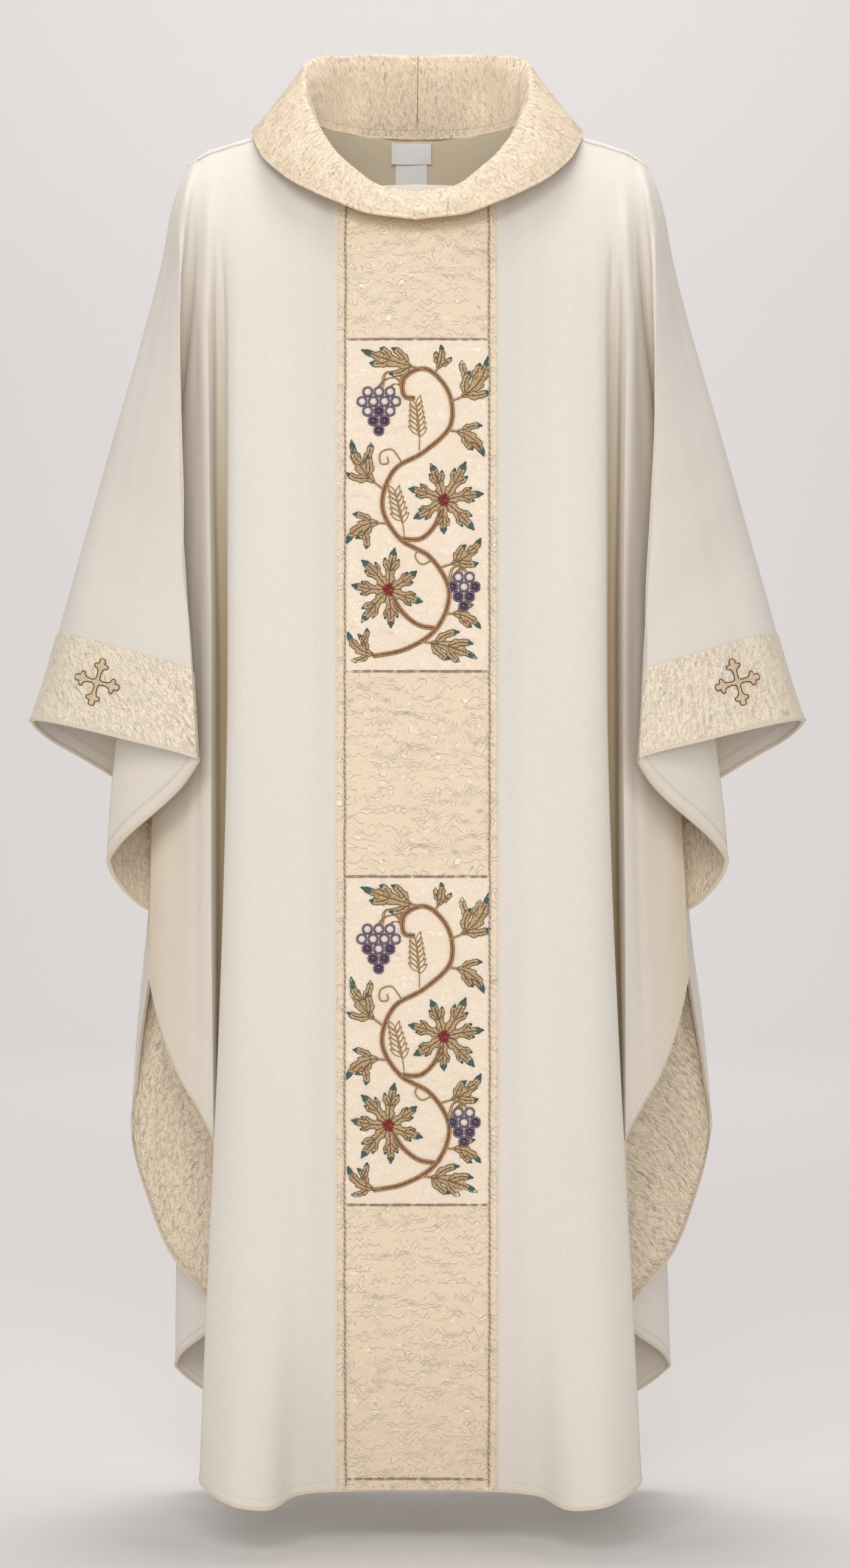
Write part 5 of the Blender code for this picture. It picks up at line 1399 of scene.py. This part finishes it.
# Strip inside the front of the neck
# A thin plain strip of the wool backs the front of the neck seam, with a straight top edge.
STRIP_REACH = 0.036
STRIP_TOP, STRIP_LOW, STRIP_CURVE = -0.0385, -0.0600, 0.0095
neck_tree = face_tree(collar_points, fine_tilts, COLLAR_WALL / 2)
strip_across = np.linspace(-STRIP_REACH, STRIP_REACH, 25)
strip_points = np.zeros((9, len(strip_across), 3))
for c, reach in enumerate(strip_across):
    low = STRIP_LOW + STRIP_CURVE * (reach / STRIP_REACH) ** 2
    hits = [neck_tree.ray_cast(Vector((reach, 0, low + rise)), Vector((0, -1, 0)))[0]
            for rise in (0.0005, 0.004, 0.007)]
    depth = max(hit.y for hit in hits if hit) + LAID + TRIM / 2
    strip_points[:, c] = [(reach, depth, level) for level in np.linspace(STRIP_TOP, low, 9)]
strip_tilts = grid_normals(strip_points)
strip_tilts *= np.sign(strip_tilts[4, 12, 1])
neck_strip = shell("neck_strip", strip_points, strip_tilts, -TRIM / 2, TRIM / 2,
                   strip_points[:, :, [0, 2]], [ivory])
kept(neck_strip, "front_neck_facing", "front_neck_facing")

# Labels
# Two bare woven labels hang from the back neck seam, the smaller one behind and below.
LABEL_MIDDLE = -0.0065
LABEL_LIFT = 0.0010
LABELS = {"label_lower": (0.016, 0.031, -0.009, 1), "label_upper": (0.0205, 0.033, 0.013, 2)}


def label_satin():
    made, tree, shader, place = new_finish("label_satin", 0.42, 0.05)
    ribs = wire(tree, "ShaderNodeTexWave", {"Vector": place, "Scale": 420.0, "Distortion": 0.4},
                wave_type="BANDS", bands_direction="Y").outputs["Fac"]
    cloud = noise(tree, scaled(tree, place, (120, 120, 1)))
    tree.links.new(blend_colours(tree, cloud, (0.93, 0.92, 0.91), (0.98, 0.975, 0.97)),
                   shader.inputs["Base Color"])
    raise_surface(tree, shader, ribs, 0.0001, 0.6)
    return made


satin = label_satin()
neck_middle = back_cloth.column[len(back_cloth.column) // 2]
label_span = slice(neck_middle - 9, neck_middle + 10)
label_tree = face_tree(back_cloth.points[:12, label_span], back_cloth.normals[:12, label_span], -WALL / 2)
for name, (half, top, bottom, layer) in LABELS.items():
    points = np.zeros((17, 15, 3))
    for r in range(17):
        for c in range(15):
            reach, level = LABEL_MIDDLE + half * (c / 7 - 1), top + (bottom - top) * r / 16
            points[r, c] = label_tree.ray_cast(Vector((reach, -1, level)), Vector((0, 1, 0)))[0]
    tilts = grid_normals(points)
    tilts *= np.sign(-tilts[8, 7, 1])
    curl = 0.0008 * np.linspace(0, 1, 17)[:, None] ** 2 * np.sin(np.linspace(0, 5, 15))[None, :]
    low = LABEL_LIFT + (layer - 1) * (TRIM + 0.0006)
    body = points + tilts * (low + 0.0008 + curl)[:, :, None]
    kept(shell(name + "_satin", body, tilts, -0.0003, 0.0002, points[:, :, [0, 2]], [satin]), "label", name)

# Seams and stitching
# A felled seam joins front to back over each shoulder and arm. Rows of machine stitches hold the
# bindings, the turned hem, the facings, the cuffs and the collar.
STITCH_PITCH, STITCH_LENGTH, STITCH_RADIUS = 0.0031, 0.0022, 0.00022
SEAM_REACH, SEAM_WALL = 0.0045, 0.0008
dark_silk = thread("dark_silk", (0.17, 0.11, 0.055), (0.30, 0.21, 0.12), 0.0012)
pale_silk = thread("pale_silk", (0.66, 0.56, 0.44), (0.84, 0.76, 0.64), 0.0012)
tan_silk = thread("tan_silk", (0.36, 0.27, 0.17), (0.56, 0.45, 0.31), 0.0012)


def sew(work, points, tilts, lift, spot=0, pitch=STITCH_PITCH):
    """Row of stitches along points, raised off a face."""
    work.stitches(points + tilts * lift, tilts, pitch, pitch * STITCH_LENGTH / STITCH_PITCH, STITCH_RADIUS, spot)


def sew_edge(work, cloth, columns, up, face, lift, spot=0):
    """Row at a distance above the free edge, on the outer (1) or inner (-1) face."""
    points, tilts, _ = above_edge(cloth, columns, up)
    sew(work, points, tilts * face, WALL / 2 + lift, spot)


def column_numbers(cloth, folds, first, last, side):
    span = span_of(cloth, folds, first, last, side)
    return np.arange(span.start, span.stop)


def seam_strip(name, word, side):
    """Felled seam lying over the joined top edges of front and back, from collar to cuff."""
    middle = len(front_cloth.column) // 2
    top, top_tilt = front_cloth.points[0], front_cloth.normals[0]
    other = back_cloth.points[0]
    tree = KDTree(len(other))
    for k, point in enumerate(other):
        tree.insert(point, k)
    tree.balance()
    used = [k for k in range(len(top)) if side * top[k, 0] > 0.115]
    near = [tree.find(top[k])[1] for k in used]
    here, there = top[used], other[near]
    ridge = (here + there) / 2
    along = unit(np.gradient(ridge, axis=0))
    rise = unit(top_tilt[used] + back_cloth.normals[0][near])
    rise = unit(rise - along * np.sum(rise * along, axis=1, keepdims=True))
    front_reach = front_cloth.points[2][used] - here
    back_reach = back_cloth.points[2][near] - there
    front_reach = unit(front_reach - along * np.sum(front_reach * along, axis=1, keepdims=True))
    back_reach = unit(back_reach - along * np.sum(back_reach * along, axis=1, keepdims=True))
    crest = ridge + rise * WALL / 2
    low_front = here + front_reach * SEAM_REACH + top_tilt[used] * WALL / 2
    low_back = there + back_reach * SEAM_REACH * 0.6 + back_cloth.normals[0][near] * WALL / 2
    points = eased(np.stack((low_front, crest, low_back)), [4, 4])
    tilts = unit(eased(np.stack((top_tilt[used], rise, back_cloth.normals[0][near])), [4, 4]))
    run = np.concatenate(([0], np.cumsum(np.linalg.norm(np.diff(ridge, axis=0), axis=1))))
    places = np.stack(np.broadcast_arrays(run[None, :], np.linspace(-0.005, 0.005, len(points))[:, None]), axis=2)
    strip = kept(shell("%s_%s" % (name, word), points, tilts, LAID, SEAM_WALL, places, [ivory]), "front")
    work = Needlework()
    sew(work, points[1], tilts[1], SEAM_WALL)
    kept(work.piece("shoulder_stitches_" + word, [pale_silk]), "front")
    return strip


seam_strips = [seam_strip("shoulder_seam", word, side) for word, side in (("left", -1), ("right", 1))]

rows_up = BINDING_WIDTH - 0.0010
sew_pitch = 0.0035
for name, cloth, lift in (("front", front_cloth, front_over), ("back", back_cloth, back_over)):
    every = np.arange(cloth.points.shape[1])
    points, tilts, _ = above_edge(cloth, every, rows_up)
    work = Needlework()
    sew(work, points + tilts * lift[:, None], tilts, WALL / 2 + BINDING, 0, sew_pitch)
    sew(work, points, -tilts, WALL / 2 + BINDING, 0, sew_pitch)
    kept(work.piece(name + "_binding_stitches", [pale_silk]), name)

work = Needlework()
for side in (-1, 1):
    for cloth, folds, first in ((front_cloth, FRONT, "hollow"), (back_cloth, BACK, "under hollow")):
        columns = column_numbers(cloth, folds, first, "arm", side)
        for up in (0.0148, 0.0172):
            sew_edge(work, cloth, columns, up, -1, 0.0, 1)
        points, tilts, _ = laid_part(cloth, cloth.row[BAND_ROW], slice(columns[0], columns[-1] + 1), 1)
        sew(work, points, tilts, WALL / 2 + LAID)
kept(work.piece("cuff_stitches", [pale_silk, tan_silk]), "cuff")

work = Needlework()
for side in (-1, 1):
    columns = column_numbers(back_cloth, BACK, "back hollow", "under hollow", side)
    for up in (FACING_STOP + 0.0012, FACING_STOP + 0.0036):
        sew_edge(work, back_cloth, columns[1:-1], up, -1, LAID + TRIM, 1)
    points, tilts, _ = laid_part(back_cloth, back_cloth.row[BAND_ROW], slice(columns[0], columns[-1] + 1), -1)
    sew(work, points, tilts, WALL / 2 + LAID)
kept(work.piece("facing_stitches", [pale_silk, tan_silk]), "back_facing")

work = Needlework()
inner = np.arange(column_numbers(back_cloth, BACK, "back hollow", "under hollow", -1)[-1] + 1,
                  column_numbers(back_cloth, BACK, "back hollow", "under hollow", 1)[0])
for face in (-1, 1):
    sew_edge(work, back_cloth, inner, 0.0105, face, 0.0, 1)
    sew_edge(work, front_cloth, np.arange(front_cloth.points.shape[1] // 4, front_cloth.points.shape[1] * 3 // 4),
             0.0105, face, 0.0, 0)
kept(work.piece("hem_stitches", [pale_silk, tan_silk]), "back")


def along_collar(reach, from_edge):
    """Points and tilts round the collar at a distance from its neck seam or from its lower edge."""
    run = run_lengths(collar_points, 1)
    at = run[:, -1] - reach if from_edge else np.full(len(run), reach)
    grids = [np.array([[np.interp(at[k], run[k], table[k, :, axis]) for axis in range(3)]
                       for k in range(len(run))]) for table in (collar_points, fine_tilts)]
    return grids[0], unit(grids[1])


work = Needlework()
points, tilts = along_collar(0.0080, False)
sew(work, points, tilts, COLLAR_WALL / 2, 1)
points, tilts = along_collar(0.0060, True)
sew(work, points, tilts, COLLAR_WALL / 2)
behind = [k for k in range(-45, 46)]
seam, seam_tilts = collar_points[:-1][behind, 0], fine_tilts[:-1][behind, 0]
work.cord(seam + seam_tilts * 0.0004 - (0, 0, 0.0012), 0.0017, 3, ups=seam_tilts, sides=8, squash=0.9)
points, tilts = collar_points[0], fine_tilts[0]
work.cord(points[1:-2] + tilts[1:-2] * COLLAR_WALL / 2, 0.00040, 2, ups=tilts[1:-2], sides=4, squash=0.6)
kept(work.piece("collar_stitches", [pale_silk, tan_silk, dark_silk, collar_brocade]), "collar")

work = Needlework()
for side in (-1, 1):
    levels = np.arange(float(neck_line(np.array([side * BORDER_EDGE]))[0]) - 0.008, hem_line + 0.003, -0.004)
    reach = np.full(len(levels), side * (BORDER_EDGE - 0.0010))
    points = on_bed(reach, levels, np.full(len(levels), GROUND))
    tilts = unit(on_bed(reach, levels, np.full(len(levels), GROUND + 0.001)) - points)
    sew(work, points, tilts, 0.0)
kept(work.piece("orphrey_edge_stitches", [pale_silk]), "orphrey_border")

# Floor, light and camera
floor_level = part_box("front")[0][2] - 0.046


def backdrop_paint():
    made = bpy.data.materials.new("backdrop_paint")
    made.use_nodes = True
    shader = made.node_tree.nodes["Principled BSDF"]
    shader.inputs["Base Color"].default_value = (0.80, 0.775, 0.77, 1.0)
    shader.inputs["Roughness"].default_value = 0.9
    return made


def studio_sweep():
    """Floor that curves up into a plain backdrop."""
    profile = [(-9.0, 0.0), (6.0, 0.0)]
    profile += [(6.0 + 2.4 * np.sin(a), 2.4 - 2.4 * np.cos(a)) for a in np.linspace(0.1, np.pi / 2, 14)]
    profile += [(8.4, 8.0)]
    corners = [(x, y, floor_level + z) for y, z in profile for x in (-9.0, 9.0)]
    faces = [(2 * k, 2 * k + 1, 2 * k + 3, 2 * k + 2) for k in range(len(profile) - 1)]
    mesh = bpy.data.meshes.new("studio_sweep")
    mesh.from_pydata(corners, [], faces)
    mesh.polygons.foreach_set("use_smooth", [True] * len(faces))
    mesh.materials.append(backdrop_paint())
    made = bpy.data.objects.new("studio_sweep", mesh)
    bpy.context.scene.collection.objects.link(made)
    return made


studio_sweep()


def softbox(name, place, target, size, power, tint):
    lamp = bpy.data.lights.new(name, "AREA")
    lamp.shape = "RECTANGLE"
    lamp.size, lamp.size_y = size
    lamp.energy = power
    lamp.color = tint
    made = bpy.data.objects.new(name, lamp)
    made.location = place
    made.rotation_euler = (Vector(target) - Vector(place)).to_track_quat("-Z", "Y").to_euler()
    bpy.context.scene.collection.objects.link(made)


softbox("front", (0.15, -3.9, -0.1), (0, 0, -0.5), (1.2, 1.2), 25, (1.0, 0.98, 0.955))
softbox("key", (-0.5, -3.2, 1.4), (0, 0, -0.1), (2.0, 1.4), 43, (1.0, 0.99, 0.98))
softbox("left", (-2.9, -1.9, 0.2), (0, 0, -0.5), (1.4, 2.2), 18, (1.0, 0.99, 0.975))
softbox("right", (2.9, -1.9, 0.2), (0, 0, -0.5), (1.4, 2.2), 19, (1.0, 0.99, 0.975))
softbox("floor", (0.0, 2.6, 2.6), (0, 2.6, -1.3), (4.0, 2.0), 34, (1.0, 0.99, 0.985))
softbox("top", (0.0, 0.35, 2.0), (0, 0.0, -0.6), (1.4, 1.0), 38, (1.0, 0.985, 0.96))
softbox("wall", (0.0, 4.2, 3.6), (0, 8.4, 0.4), (6.0, 1.6), 160, (1.0, 0.99, 0.985))
world = bpy.data.worlds.new("studio")
bpy.context.scene.world = world
world.use_nodes = True
world.node_tree.nodes["Background"].inputs["Color"].default_value = (1.0, 0.965, 0.915, 1.0)
world.node_tree.nodes["Background"].inputs["Strength"].default_value = 0.28

view = bpy.data.cameras.new("camera")
view.sensor_fit = "VERTICAL"
view.sensor_height = 36.0
view.lens = 36.0 * 3.2 / 1.486
camera = bpy.data.objects.new("camera", view)
camera.location = (0.0074, -3.32, -0.613)
camera.rotation_euler = (np.radians(90), 0, 0)
bpy.context.scene.collection.objects.link(camera)
bpy.context.scene.camera = camera
bpy.context.scene.view_settings.view_transform = "Standard"
